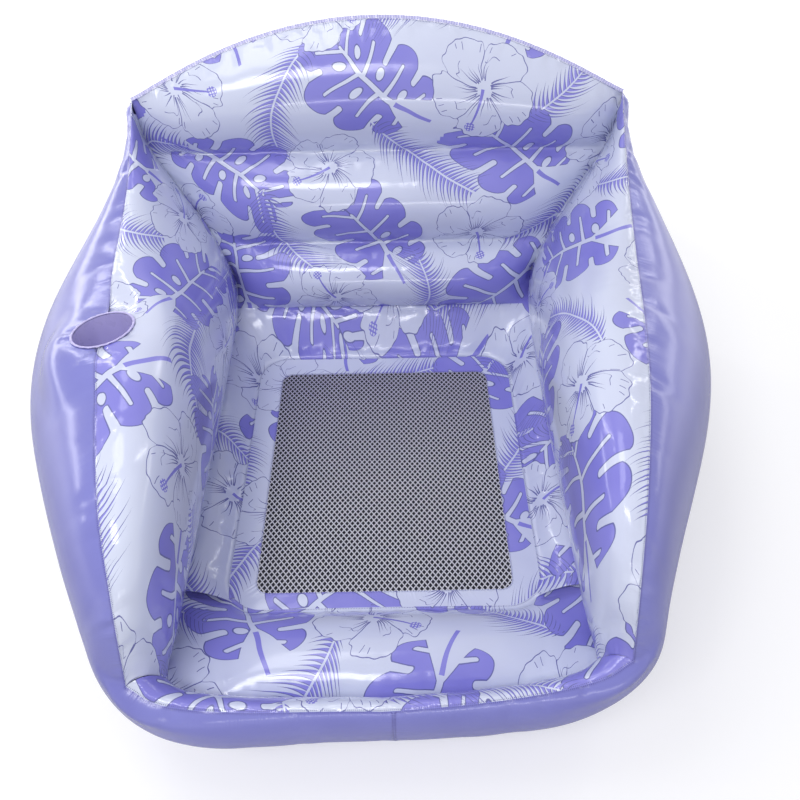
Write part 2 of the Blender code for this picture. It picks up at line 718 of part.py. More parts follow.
def make_net(build):
    """The seat's net: a flat sheet with staggered diamond gaps inside a plain welded margin."""
    curve = bpy.data.curves.new("mesh_panel", "CURVE")
    curve.dimensions = "2D"
    curve.fill_mode = "BOTH"
    curve.extrude = MESH_THICKNESS / 2

    def outline(points):
        spline = curve.splines.new("POLY")
        spline.points.add(len(points) - 1)
        for point, (across, along) in zip(spline.points, points):
            point.co = (across, along, 0, 1)
        spline.use_cyclic_u = True

    outline(opening_loop(MESH_TUCK) - (0, SEAT_ALONG))
    half = NET_PITCH / 2 - NET_STRAND / math.sqrt(2)
    columns = int((MESH_WIDTH - NET_STRAND) / NET_PITCH)
    rows = int((MESH_LENGTH - NET_STRAND) / NET_PITCH)
    for shift in (0, 1):
        for column in range(columns - shift):
            for row in range(rows - shift):
                across = (column - (columns - 1 - shift) / 2) * NET_PITCH
                along = (row - (rows - 1 - shift) / 2) * NET_PITCH
                outline([(across + half, along), (across, along + half), (across - half, along),
                         (across, along - half)])
    piece = build.add("mesh_panel", curve, "seat_mesh")
    piece.location = (0, SEAT_ALONG, SEAT_HEIGHT)


def make_cup_holder(build, wall, cover):
    place, axis = cup_place()
    matrix = Matrix.Translation(Vector(place)) @ Matrix.Rotation(-CUP_TILT, 4, "X")
    mouth = build.empty("cup_holder_mouth", build.frame, matrix)
    hole = build.cutter("cup_holder_cut", CUP_RADIUS + GAP, -CUT_OVERRUN, CUT_OVERRUN, mouth)
    build.combine(wall, hole, "DIFFERENCE")
    build.combine(cover, hole, "DIFFERENCE")
    tip = CUP_RADIUS - CUP_TAPER
    inner, outer = CUP_RADIUS - CUP_WALL, CUP_RADIUS + CUP_LIP
    sleeve = ((CUP_RADIUS, SKIN), (tip, -CUP_DEPTH), (tip - CUP_WALL, -CUP_DEPTH), (inner, SKIN))
    build.turned("cup_holder_sleeve", sleeve, "cup_vinyl", mouth, ROUND_STEPS, closed=True)
    rim = tip - CUP_WALL - GAP
    base = ((0, CUP_WALL - CUP_DEPTH), (rim, CUP_WALL - CUP_DEPTH), (rim, -CUP_DEPTH), (0, -CUP_DEPTH))
    build.turned("cup_holder_base", base, "cup_vinyl", mouth, ROUND_STEPS)
    low = SKIN + GAP
    high = low + CUP_LIP_THICKNESS
    lip = ((outer - CUP_LIP_THICKNESS / 2, high), (outer, (low + high) / 2), (outer, low), (inner, low),
           (inner, high))
    build.turned("cup_holder_lip", lip, "cup_vinyl", mouth, ROUND_STEPS, closed=True)


def make_flange(build):
    """Thin weld margin that stands along the top of the back."""
    arch = widened(back_arch(2 * BACK_COLUMNS)[::-1])
    lean = Vector((0, BACK_TOP_REACH - BACK_CORNER_REACH, BACK_HEIGHT - BACK_CORNER_HEIGHT)).normalized()
    tangent = np.gradient(arch, axis=0)
    up = np.cross(np.cross(tangent, lean), tangent)
    up /= np.linalg.norm(up, axis=1)[:, None]
    low = arch + up * (SKIN + GAP)
    grid = np.stack([low, low + up * FLANGE_HEIGHT])[:, 1:-1]
    flange = build.skin("back_weld_flange", grid, "wall_vinyl", side=0)
    flange.modifiers["sheet"].thickness = FLANGE_THICKNESS


def panel_place(row, side):
    """Frame of one flat facet of the rear wall, and how far its corners stand off its plane."""
    grid = wall_grid()
    column = FRONT_COLUMNS + ARM_COLUMNS + VALVE_COLUMN
    corners = [grid[row + down, column + over] for down, over in ((0, 0), (0, 1), (1, 1), (1, 0))]
    corners = [Vector(corner * (side, 1, 1)) for corner in corners]
    centre = sum(corners, Vector()) / 4
    normal = (corners[2] - corners[0]).cross(corners[3] - corners[1]).normalized()
    if normal.y < 0:
        normal.negate()
    across = Vector((0, 0, 1)).cross(normal).normalized()
    turn = Matrix((across, normal.cross(across), normal)).transposed().to_4x4()
    standoff = max(abs((corner - centre).dot(normal)) for corner in corners)
    return Matrix.Translation(centre) @ turn, standoff


def make_valve(build, prefix, row, side, wall):
    """Socket welded into the rear wall; the stem, flap, cap and strap are set about their joints."""
    matrix, standoff = panel_place(row, side)
    seat = build.empty(prefix + "_valve_seat", build.frame, matrix)
    low = standoff + SKIN + GAP
    high = low + SOCKET_FLANGE_THICKNESS
    tube = SOCKET_BORE + SOCKET_WALL
    hole = build.cutter(prefix + "_valve_cut", tube + GAP, -CUT_OVERRUN, CUT_OVERRUN, seat)
    build.combine(wall, hole, "DIFFERENCE")
    socket = ((SOCKET_FLANGE_RADIUS, high), (SOCKET_FLANGE_RADIUS, low), (tube, low), (tube, -SOCKET_DEPTH),
              (SOCKET_BORE, -SOCKET_DEPTH), (SOCKET_BORE, high))
    build.turned(prefix + "_valve_socket", socket, "valve_vinyl", seat, SMALL_ROUND_STEPS, closed=True)
    stem_foot = high + GAP
    make_stem(build, prefix, seat, stem_foot)
    make_cap(build, prefix, seat, stem_foot + STEM_COLLAR_THICKNESS + GAP)


def make_stem(build, prefix, seat, foot):
    """Sliding tube with a collar; its origin is on the slide's axis at the collar's foot."""
    outer = SOCKET_BORE - STEM_CLEARANCE
    inner = outer - STEM_WALL
    top = STEM_COLLAR_THICKNESS
    stem = build.empty(prefix + "_valve_slide", seat, Matrix.Translation((0, 0, foot)))
    profile = ((STEM_COLLAR_RADIUS, top), (STEM_COLLAR_RADIUS, 0), (outer, 0), (outer, -STEM_LENGTH),
               (inner, -STEM_LENGTH), (inner, top))
    build.turned(prefix + "_valve_stem", profile, "valve_vinyl", stem, SMALL_ROUND_STEPS, closed=True)
    strap_start = STEM_COLLAR_RADIUS + GAP
    build.box(prefix + "_valve_strap", (strap_start, -STRAP_WIDTH / 2, top - STRAP_THICKNESS),
              (HINGE_REACH, STRAP_WIDTH / 2, top), "valve_vinyl", stem)
    flap_top = -STEM_LENGTH - GAP
    flap_radius = outer - STEM_CLEARANCE
    hinge = build.empty(prefix + "_valve_flap_hinge", stem, Matrix.Translation((-flap_radius, 0, flap_top)))
    flap = ((0, 0), (flap_radius, 0), (flap_radius, -FLAP_THICKNESS), (0, -FLAP_THICKNESS))
    disc = build.turned(prefix + "_valve_flap", flap, "valve_vinyl", hinge, SMALL_ROUND_STEPS)
    disc.location.x = flap_radius


def make_cap(build, prefix, seat, foot):
    """Tapered plug with a flat head and a tab, about the living hinge of its strap."""
    hinge = build.empty(prefix + "_valve_cap_hinge", seat, Matrix.Translation((HINGE_REACH, 0, foot)))
    plug = SOCKET_BORE - STEM_CLEARANCE - STEM_WALL - STEM_CLEARANCE
    tip = plug * PLUG_TIP_SHARE
    profile = ((0, CAP_THICKNESS), (CAP_RADIUS, CAP_THICKNESS), (CAP_RADIUS, 0), (plug, 0),
               (tip, -PLUG_LENGTH), (0, -PLUG_LENGTH))
    cap = build.turned(prefix + "_valve_cap", profile, "valve_vinyl", hinge, SMALL_ROUND_STEPS)
    cap.location.x = -HINGE_REACH
    tab = build.box(prefix + "_valve_tab", (CAP_RADIUS / 2, -STRAP_WIDTH / 2, 0),
                    (HINGE_REACH - GAP, STRAP_WIDTH / 2, CAP_THICKNESS), "valve_vinyl", cap)
    build.as_cutter(tab)
    build.combine(cap, tab, "UNION")


def main():
    build = Builder()
    left_wall, right_wall = make_walls(build)
    left_cover = make_covers(build)
    make_seat(build)
    make_mesh_frames(build)
    make_net(build)
    make_inner_sheets(build)
    make_flange(build)
    make_cup_holder(build, left_wall, left_cover)
    make_valve(build, "upper", UPPER_VALVE_ROW, 1, right_wall)
    make_valve(build, "lower", LOWER_VALVE_ROW, -1, left_wall)


main()
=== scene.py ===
"""Dresses the inflatable pool chair: swollen vinyl skins, a net seat, a cup holder and two air valves."""

import json
import math
from functools import partialmethod

import bmesh
import bpy
import numpy as np
from mathutils import Matrix, Vector

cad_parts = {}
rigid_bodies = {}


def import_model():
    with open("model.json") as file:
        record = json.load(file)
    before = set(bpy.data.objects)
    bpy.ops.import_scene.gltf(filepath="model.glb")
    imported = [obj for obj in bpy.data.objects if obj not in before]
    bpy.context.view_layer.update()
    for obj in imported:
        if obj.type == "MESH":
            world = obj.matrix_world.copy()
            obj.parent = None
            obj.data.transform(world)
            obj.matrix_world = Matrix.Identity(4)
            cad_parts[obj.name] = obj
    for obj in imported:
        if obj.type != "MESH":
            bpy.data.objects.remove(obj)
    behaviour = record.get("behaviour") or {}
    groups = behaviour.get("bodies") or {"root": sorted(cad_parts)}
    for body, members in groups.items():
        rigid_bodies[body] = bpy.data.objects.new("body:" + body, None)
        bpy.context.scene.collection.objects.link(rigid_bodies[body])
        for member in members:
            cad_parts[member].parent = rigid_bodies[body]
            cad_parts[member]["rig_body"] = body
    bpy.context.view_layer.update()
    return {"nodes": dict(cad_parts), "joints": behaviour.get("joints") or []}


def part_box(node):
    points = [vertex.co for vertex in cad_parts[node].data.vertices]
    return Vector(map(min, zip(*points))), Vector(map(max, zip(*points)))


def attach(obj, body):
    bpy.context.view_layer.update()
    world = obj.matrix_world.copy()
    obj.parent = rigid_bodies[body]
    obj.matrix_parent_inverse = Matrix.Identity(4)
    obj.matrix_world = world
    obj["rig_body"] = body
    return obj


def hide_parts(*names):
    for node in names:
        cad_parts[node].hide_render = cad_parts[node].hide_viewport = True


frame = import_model()

# Outer wall
# The glossy violet vinyl round the outside: two long strips joined by upright lap welds at front and back.
# It is welded to the printed covers along the rim and to the sole along the foot, and air swells it between.
RIM_HALF_WIDTH = 0.395
HALF_DEPTH = 0.530
BACK_HEIGHT = 0.640
BACK_CORNER = (0.415, 0.545)
BACK_TOP_REACH = 0.485
ARCH_RISE = 0.132
WALL_BULGE = 0.135
FOOT_HEIGHT = 0.036
SEAT_ALONG = 0.015
FILM = 0.0004
MERGE = FILM / 40
WALL_STEP = 0.0045
WELD_WIDTH = 0.004
WALL_ROWS = 80
# The blur that rounds the wall's plan is full between these shares of the way in from the rim and the foot
SOFTENING = 0.050
SOFT_FROM_RIM = 0.35
SOFT_FROM_FOOT = 0.12
CURVE_SAMPLES = 600
FULL_SHARE = 0.12
# Askew stance of the front corners, as the blown-up chair sits: forward at -X, back at +X
CORNER_FORWARD = 0.018
CORNER_BACK = 0.022
CORNER_START = -0.28
CORNER_END = -0.50
# Across as a share of RIM_HALF_WIDTH, along of HALF_DEPTH, up of BACK_HEIGHT
FRONT_RIM_SHARES = (
    (0.000, -0.815, 0.305),
    (0.405, -0.806, 0.313),
    (0.646, -0.789, 0.331),
    (0.757, -0.757, 0.355),
)
ARM_RIM_SHARES = (
    (0.757, -0.757, 0.355),
    (0.727, -0.702, 0.547),
    (0.752, -0.551, 0.656),
    (0.828, -0.298, 0.688),
    (0.884, -0.057, 0.695),
    (0.944, 0.226, 0.688),
    (0.977, 0.472, 0.727),
    (0.990, 0.670, 0.805),
    (1.000, 0.783, 0.852),
)
FRONT_FOOT_SHARES = ((0.000, -0.745), (0.380, -0.736), (0.633, -0.698), (0.760, -0.632))
ARM_FOOT_SHARES = (
    (0.760, -0.632),
    (0.800, -0.570),
    (0.858, -0.440),
    (0.930, -0.240),
    (0.985, -0.010),
    (1.010, 0.226),
    (1.000, 0.453),
    (0.950, 0.660),
    (0.850, 0.774),
)
BACK_FOOT_SHARES = ((0.850, 0.774), (0.660, 0.855), (0.350, 0.905), (0.000, 0.915))
FRONT_WALL_SHARES = (0.17, 0.17, 0.20, 0.28)
ARM_WALL_SHARES = (0.28, 0.40, 0.51, 0.72, 0.96, 1.05, 0.81, 0.38, 0.25)
BACK_WALL_SHARES = (0.25, 0.55, 0.72, 0.75)
# What each side's wall swells beyond these, by arm station, since the chair leans to -X
LEFT_LEAN_SHARES = (0.20, 0.08, 0.08, 0.085, 0.085, 0.07, 0.03, 0.01, 0.0)
RIGHT_LEAN_SHARES = (0.19, -0.02, -0.07, -0.085, -0.085, -0.05, -0.01, 0.0, 0.0)
# Columns by which the front lap lies to +X of the middle
FRONT_LAP_COLUMNS = 3
ARCH_LIFT_POWER = 1.14

REACH = np.array([RIM_HALF_WIDTH, HALF_DEPTH, BACK_HEIGHT])
MIRROR = np.array([-1, 1, 1])
panel_low, panel_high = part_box("mesh_panel")
SHIFT = np.array([0, (panel_low.y + panel_high.y) / 2 - SEAT_ALONG, 0])
# A point above the seat, which the covers face and the wall and sole turn away from
LAP = np.array([0, SHIFT[1], 0.6])


def through(table, places):
    """Catmull-Rom curve through the rows of a table, read at fractional row numbers."""
    rows = np.asarray(table, float).reshape(len(table), -1)
    last = len(rows) - 1
    places = np.clip(np.asarray(places, float), 0, last)
    low = np.minimum(places.astype(int), last - 1)
    t = (places - low)[:, None]
    here, there = rows[low], rows[low + 1]
    before = np.where((low == 0)[:, None], 2 * here - there, rows[np.maximum(low - 1, 0)])
    after = np.where((low == last - 1)[:, None], 2 * there - here, rows[np.minimum(low + 2, last)])
    bend = 2 * before - 5 * here + 4 * there - after
    twist = 3 * here - before - 3 * there + after
    return here + t * ((there - before) + t * (bend + t * twist)) / 2


def lengths_along(points):
    steps = np.linalg.norm(np.diff(points, axis=0), axis=1)
    return np.concatenate([[0], np.cumsum(steps)])


def even_places(table, step, first=0, last=None):
    """Fractional row numbers about one step of length apart on the curve through a table."""
    last = len(table) - 1 if last is None else last
    fine = np.linspace(first, last, CURVE_SAMPLES)
    travelled = lengths_along(through(table, fine) * REACH)
    return np.interp(np.linspace(0, travelled[-1], round(travelled[-1] / step) + 1), travelled, fine)


def back_arch(columns):
    """Top seam of the back, from the corner to the middle: a circular arch that leans back."""
    radius = (RIM_HALF_WIDTH ** 2 + ARCH_RISE ** 2) / (2 * ARCH_RISE)
    angles = np.linspace(math.asin(RIM_HALF_WIDTH / radius), 0, columns + 1)
    lift = np.maximum(1 - radius * (1 - np.cos(angles)) / ARCH_RISE, 0) ** ARCH_LIFT_POWER
    along = BACK_CORNER[0] + (BACK_TOP_REACH - BACK_CORNER[0]) * lift
    up = BACK_CORNER[1] + (BACK_HEIGHT - BACK_CORNER[1]) * lift
    return np.stack([radius * np.sin(angles), along, up], axis=1)


def foot_points(table, places):
    flat = through(table, places) * REACH[:2]
    return np.column_stack([flat, np.full(len(flat), FOOT_HEIGHT)])


def joined(front, arm, back):
    """Front, arm and back stretches of the +X half, without their shared stations."""
    return np.concatenate([front[:-1], arm[:-1], back])


def section_shares(rows, full):
    """How far along and how far out each row of a swollen section lies."""
    begin = full * math.pi / 2
    angles = np.linspace(begin, math.pi - begin, rows + 1)
    along = (math.cos(begin) - np.cos(angles)) / (2 * math.cos(begin))
    out = (np.sin(angles) - math.sin(begin)) / (1 - math.sin(begin))
    return along, out


def swollen(start, end, swell, lean, rows, full):
    """Rows of points from one seam to the other, each column part of an ellipse pushed along lean."""
    along, out = section_shares(rows, full)
    push = lean / np.linalg.norm(lean, axis=1)[:, None] * np.asarray(swell)[:, None]
    return start + (end - start) * along[:, None, None] + push * out[:, None, None]


def outward(path):
    """Level unit vectors square to a plan path that runs from front middle to back middle."""
    padded = np.concatenate([path[1:2] * MIRROR, path, path[-2:-1] * MIRROR])
    along = padded[2:] - padded[:-2]
    normal = np.stack([along[:, 1], -along[:, 0], np.zeros(len(along))], axis=1)
    return normal / np.linalg.norm(normal, axis=1)[:, None]


def softened(grid, spread):
    """Each row blurred along itself, by its own spread in columns; both ends run on in the mirror half."""
    made = grid.copy()
    for row, width in enumerate(spread):
        reach = int(3 * width)
        if reach < 1:
            continue
        weights = np.exp(-0.5 * (np.arange(-reach, reach + 1) / width) ** 2)
        before, after = grid[row, reach:0:-1] * MIRROR, grid[row, -2:-reach - 2:-1] * MIRROR
        line = np.concatenate([before, grid[row], after])
        for axis in range(3):
            made[row, :, axis] = np.convolve(line[:, axis], weights / weights.sum(), "valid")
    return made


def eased(share):
    share = np.clip(share, 0, 1)
    return share * share * (3 - 2 * share)


def half_wall(side):
    """Half of the wall, drawn at +X: rows from rim to foot, columns from front middle to back middle."""
    front = even_places(FRONT_RIM_SHARES, WALL_STEP)
    arm = even_places(ARM_RIM_SHARES, WALL_STEP)
    columns = round(RIM_HALF_WIDTH / WALL_STEP)
    back = np.linspace(0, len(BACK_FOOT_SHARES) - 1, columns + 1)
    rim = joined(through(FRONT_RIM_SHARES, front) * REACH, through(ARM_RIM_SHARES, arm) * REACH,
                 back_arch(columns))
    foot = joined(foot_points(FRONT_FOOT_SHARES, front), foot_points(ARM_FOOT_SHARES, arm),
                  foot_points(BACK_FOOT_SHARES, back))
    lean = np.array(LEFT_LEAN_SHARES if side < 0 else RIGHT_LEAN_SHARES)
    front_lean = lean[0] * eased(front / (len(FRONT_RIM_SHARES) - 1))[:, None]
    swell = joined(through(FRONT_WALL_SHARES, front) + front_lean, through(ARM_WALL_SHARES + lean, arm),
                   through(BACK_WALL_SHARES, back))[:, 0] * WALL_BULGE
    grid = swollen(rim, foot, swell, outward((rim + foot) / 2), WALL_ROWS, FULL_SHARE)
    share = np.linspace(0, 1, WALL_ROWS + 1)
    spread = SOFTENING / WALL_STEP * eased(share / SOFT_FROM_RIM) * eased((1 - share) / SOFT_FROM_FOOT)
    return softened(grid, spread)


def normals_of(grid, facing):
    """Unit normals of a grid: towards the lap point where facing is 1, away from it where it is -1."""
    normal = np.cross(np.gradient(grid, axis=0), np.gradient(grid, axis=1))
    normal /= np.maximum(np.linalg.norm(normal, axis=2), 1e-12)[..., None]
    return normal * np.sign((normal * (LAP - SHIFT - grid)).sum()) * facing


def distances_down(grid):
    """Length along the skin from the first row, for every point."""
    steps = np.linalg.norm(np.diff(grid, axis=0), axis=2)
    return np.concatenate([np.zeros((1, grid.shape[1])), np.cumsum(steps, axis=0)])


def distances_across(grid, row):
    """Length along one row from its first point, the same for every row."""
    return np.tile(lengths_along(grid[row]), (grid.shape[0], 1))


def paired(first, second):
    return np.stack(np.broadcast_arrays(first, second), axis=-1)


def interpolated(wanted, places, points):
    """Points read off a path, given the place of each along it."""
    return np.stack([np.interp(wanted, places, points[:, axis]) for axis in range(points.shape[1])], axis=1)


def puckers(along, away, every, depth, reach, seed):
    """Depth of the grooves that a weld draws into a skin, deepest beside it and fainter farther off."""
    chance = np.random.default_rng(seed)
    count = max(1, int(np.ptp(along) / every))
    dent = np.zeros(along.shape)
    for place in np.sort(chance.uniform(along.min(), along.max(), count)):
        strength = chance.uniform(0.25, 1) ** 1.5
        run = reach * chance.uniform(0.4, 1.2)
        slant = chance.normal(0, 0.22)
        width = every * (0.16 + 0.5 * away / run)
        across = np.abs(along - place - slant * away) / width
        dent += strength * np.exp(-across ** 1.4 - (away / run) ** 1.3)
    return -depth * dent * eased(away / WELD_WIDTH)


# The film is cut a little larger than the space between its welds, and air pushes the spare length into
# wrinkles. Spread and reach are counted in cells of a skin's grid.
FILM_CLOTH = {
    "quality": 4,
    "mass": 0.15,
    "tension_stiffness": 30,
    "compression_stiffness": 30,
    "shear_stiffness": 8,
    "bending_stiffness": 0.15,
    "tension_damping": 20,
    "compression_damping": 20,
    "air_damping": 3,
    "use_pressure": True,
    "uniform_pressure_force": 3.0,
    "shrink_min": -0.03,
    "vertex_group_mass": "welds",
}
BLOW_FRAMES = 12
WRINKLE_SPREAD = 4.0
WRINKLE_SHARE = 0.55
WRINKLE_REACH = 6.0


def evened(field):
    """The same field blurred over the grid, with its edges mirrored about their values."""
    reach = int(3 * WRINKLE_SPREAD)
    weights = np.exp(-0.5 * (np.arange(-reach, reach + 1) / WRINKLE_SPREAD) ** 2)
    weights /= weights.sum()
    for axis in (0, 1):
        count = field.shape[axis]
        edges = [(reach, reach) if way == axis else (0, 0) for way in range(3)]
        padded = np.pad(field, edges, mode="reflect", reflect_type="odd")
        field = sum(weight * np.take(padded, range(start, start + count), axis=axis)
                    for start, weight in enumerate(weights))
    return field


def linked(name, data):
    made = bpy.data.objects.new(name, data)
    bpy.context.scene.collection.objects.link(made)
    return made


def wrinkled(name, grid, held_rows=()):
    """A skin with small wrinkles: a cloth held along its welds and blown up, less its larger movement."""
    rows, columns = grid.shape[:2]
    mesh, place = skin_mesh(name + "_blank", grid, 1)
    blank = linked(name + "_blank", mesh)
    row, column = place // columns, place % columns
    held = np.isin(row, (0, rows - 1, *held_rows)) | (column == 0) | (column == columns - 1)
    welds = blank.vertex_groups.new(name="welds")
    welds.add(np.flatnonzero(held).tolist(), 1.0, "REPLACE")
    cloth = blank.modifiers.new("cloth", "CLOTH")
    for setting, value in FILM_CLOTH.items():
        setattr(cloth.settings, setting, value)
    cloth.settings.effector_weights.gravity = 0
    cloth.point_cache.frame_start = 1
    cloth.point_cache.frame_end = BLOW_FRAMES
    for moment in range(1, BLOW_FRAMES + 1):
        bpy.context.scene.frame_set(moment)
    shown = blank.evaluated_get(bpy.context.evaluated_depsgraph_get()).data
    flat = np.empty(len(shown.vertices) * 3)
    shown.vertices.foreach_get("co", flat)
    blown = np.empty((rows * columns, 3))
    blown[place] = flat.reshape(-1, 3)
    bpy.data.objects.remove(blank)
    bpy.data.meshes.remove(mesh)
    bpy.context.scene.frame_set(1)
    move = blown.reshape(rows, columns, 3) - grid
    stops = sorted({0, rows - 1, *held_rows})
    down = np.abs(np.arange(rows)[:, None] - stops).min(axis=1)
    across = np.minimum(np.arange(columns), np.arange(columns)[::-1])
    share = WRINKLE_SHARE * np.exp(-np.minimum(down[:, None], across) / WRINKLE_REACH)[..., None]
    made = grid.copy()
    for first, last in zip(stops, stops[1:]):
        band = move[first:last + 1]
        made[first:last + 1] += (band - evened(band)) * share[first:last + 1]
    return made


# How far the rim of the arm with the cup holder leans out. The lean grows between these shares of the rim's
# half width, the back's height and the half depth, and fades again towards the back.
RIM_LEAN = 0.009
LEAN_ACROSS = (0.5, 0.3)
LEAN_UP = (0.3, 0.25)
LEAN_FRONT = (-0.75, 0.2)
LEAN_REAR = (-0.6, 0.4)


def settled(grid):
    """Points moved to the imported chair's frame, with its front corners and one arm standing askew."""
    forward = eased((CORNER_START - grid[..., 1]) / (CORNER_START - CORNER_END))
    side = eased(-grid[..., 0] / RIM_HALF_WIDTH)
    other = eased(grid[..., 0] / RIM_HALF_WIDTH)
    moved = grid + SHIFT
    moved[..., 1] += forward * (CORNER_BACK * other - CORNER_FORWARD * side)
    across, along, up = np.moveaxis(grid / REACH, -1, 0)
    lean = RIM_LEAN
    spans = ((-across, LEAN_ACROSS), (up, LEAN_UP), (along, LEAN_FRONT), (-along, LEAN_REAR))
    for share, (start, run) in spans:
        lean = lean * eased((share - start) / run)
    moved[..., 0] -= lean
    return moved


CUP_ALONG = -0.027
CUP_TILT = math.radians(8)
CUP_LEAN = math.radians(7)
CUP_RADIUS = 0.040
CUP_FLAT_RADIUS = 0.045
CUP_BLEND_RADIUS = 0.125
CUP_BLEND_DEPTH = 0.070
# Puckers are given as their spacing, depth and reach from the weld
CUP_FINE_FOLDS = (0.009, 0.0022, 0.022)
CUP_LONG_FOLDS = (0.024, 0.0055, 0.040)


def cup_place():
    """Middle of the cup holder's mouth on the left rim seam, and the way it points."""
    fine = np.linspace(0, len(ARM_RIM_SHARES) - 1, CURVE_SAMPLES)
    rim = through(ARM_RIM_SHARES, fine) * REACH
    place = interpolated([CUP_ALONG], rim[:, 1], rim)[0]
    axis = np.array([-math.sin(CUP_LEAN), math.sin(CUP_TILT), math.cos(CUP_TILT)])
    return place * MIRROR, axis / np.linalg.norm(axis)


def about_axis(points, place, axis):
    """Height over a place and distance from the axis through it, for every point."""
    offset = points - place
    height = offset @ axis
    return height, np.linalg.norm(offset - height[..., None] * axis, axis=-1)


def patch_share(height, radius, flat_radius, blend_radius, depth):
    """1 over a round patch, fading to 0 at its blend radius and depth."""
    level = eased(2 * (1 - np.abs(height) / depth))
    return eased((blend_radius - radius) / (blend_radius - flat_radius)) * level


def pressed_to_cup(grid):
    """The skin drawn level around the mouth by its round weld, with small folds that run out from it."""
    place, axis = cup_place()
    height, radius = about_axis(grid, place, axis)
    share = patch_share(height, radius, CUP_FLAT_RADIUS, CUP_BLEND_RADIUS, CUP_BLEND_DEPTH)
    offset = grid - place
    around = np.arctan2(offset[..., 1], offset[..., 0]) * CUP_RADIUS
    off = np.maximum(radius - CUP_RADIUS, 0)
    folds = puckers(around, off, *CUP_FINE_FOLDS, 5) + puckers(around, off, *CUP_LONG_FOLDS, 8)
    return grid + (share * (folds - height))[..., None] * axis


def weld_at_cup(grid, weld):
    """The weld map with the round weld of the mouth taken in, wherever that weld is the nearer one."""
    height, radius = about_axis(grid, *cup_place())
    offset = grid - cup_place()[0]
    around = np.arctan2(offset[..., 1], offset[..., 0]) * CUP_RADIUS
    away = np.abs(radius - CUP_RADIUS)
    nearer = (away < weld[..., 1]) & (np.abs(height) < CUP_BLEND_DEPTH / 2)
    return np.where(nearer[..., None], paired(around, away), weld)


def crisp_borders(shape):
    """Keeps smooth shading from running over the cut edge of a film."""
    for edge in shape.edges:
        edge.smooth = not edge.is_boundary


def into_mesh(shape, mesh):
    shape.to_mesh(mesh)
    shape.free()
    return mesh


def open_round(mesh, place, axis, radius, depth):
    """Cuts a round opening in a skin, near a place on its axis, and rounds the cut edge."""
    place, axis = Vector(place), Vector(axis)
    shape = bmesh.new()
    shape.from_mesh(mesh)

    def off_axis(point):
        offset = point - place
        return offset - axis * offset.dot(axis)

    inside = [face for face in shape.faces if off_axis(face.calc_center_median()).length < radius
              and abs((face.calc_center_median() - place).dot(axis)) < depth]
    edge = {vertex for face in inside for vertex in face.verts}
    bmesh.ops.delete(shape, geom=inside, context="FACES")
    for vertex in edge:
        if vertex.is_valid and vertex.link_faces:
            level = off_axis(vertex.co)
            vertex.co += level.normalized() * (radius + WELD_WIDTH / 4 - level.length)
    crisp_borders(shape)
    into_mesh(shape, mesh)


def open_for_cup(mesh):
    place, axis = cup_place()
    open_round(mesh, settled(place), axis, CUP_RADIUS, CUP_BLEND_DEPTH / 2)


def skin_mesh(name, grid, facing):
    """A mesh laid over a grid of points, and the place in the grid of each of its vertices."""
    rows, columns = grid.shape[:2]
    shape = bmesh.new()
    bmesh.ops.create_grid(shape, x_segments=columns - 1, y_segments=rows - 1, size=1)
    crisp_borders(shape)
    mesh = into_mesh(shape, bpy.data.meshes.new(name))
    flat = np.empty(len(mesh.vertices) * 3)
    mesh.vertices.foreach_get("co", flat)
    column = np.rint((flat[0::3] + 1) / 2 * (columns - 1)).astype(int)
    row = np.rint((flat[1::3] + 1) / 2 * (rows - 1)).astype(int)
    mesh.vertices.foreach_set("co", grid.reshape(-1, 3)[row * columns + column].ravel())
    mesh.update()
    normals = np.empty(len(mesh.polygons) * 3)
    centres = np.empty(len(mesh.polygons) * 3)
    mesh.polygons.foreach_get("normal", normals)
    mesh.polygons.foreach_get("center", centres)
    toward = np.tile(LAP, len(mesh.polygons)) - centres
    if (normals * toward).sum() * facing < 0:
        mesh.flip_normals()
    mesh.shade_smooth()
    return mesh, row * columns + column


def corner_values(mesh, name, values):
    """Writes a pair of numbers for every vertex into a UV map."""
    layer = mesh.uv_layers.new(name=name)
    corner = np.empty(len(mesh.loops), int)
    mesh.loops.foreach_get("vertex_index", corner)
    layer.data.foreach_set("uv", np.asarray(values, float)[corner].ravel())


def closed_up(mesh):
    """Joins the first and last columns of a skin that runs all the way round."""
    shape = bmesh.new()
    shape.from_mesh(mesh)
    bmesh.ops.remove_doubles(shape, verts=shape.verts, dist=MERGE)
    crisp_borders(shape)
    into_mesh(shape, mesh)


def fitted(name, mesh, material, body="chair", stands_for=None, thickness=FILM):
    """Puts a finished skin on the chair in place of the solid of its own name, or of another's."""
    piece = linked("dressed_" + name, mesh)
    mesh.materials.append(material)
    if thickness:
        wall = piece.modifiers.new("film", "SOLIDIFY")
        wall.thickness = thickness
        wall.offset = -1
        wall.use_even_offset = True
    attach(piece, body)
    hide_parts(stands_for or name)
    return piece


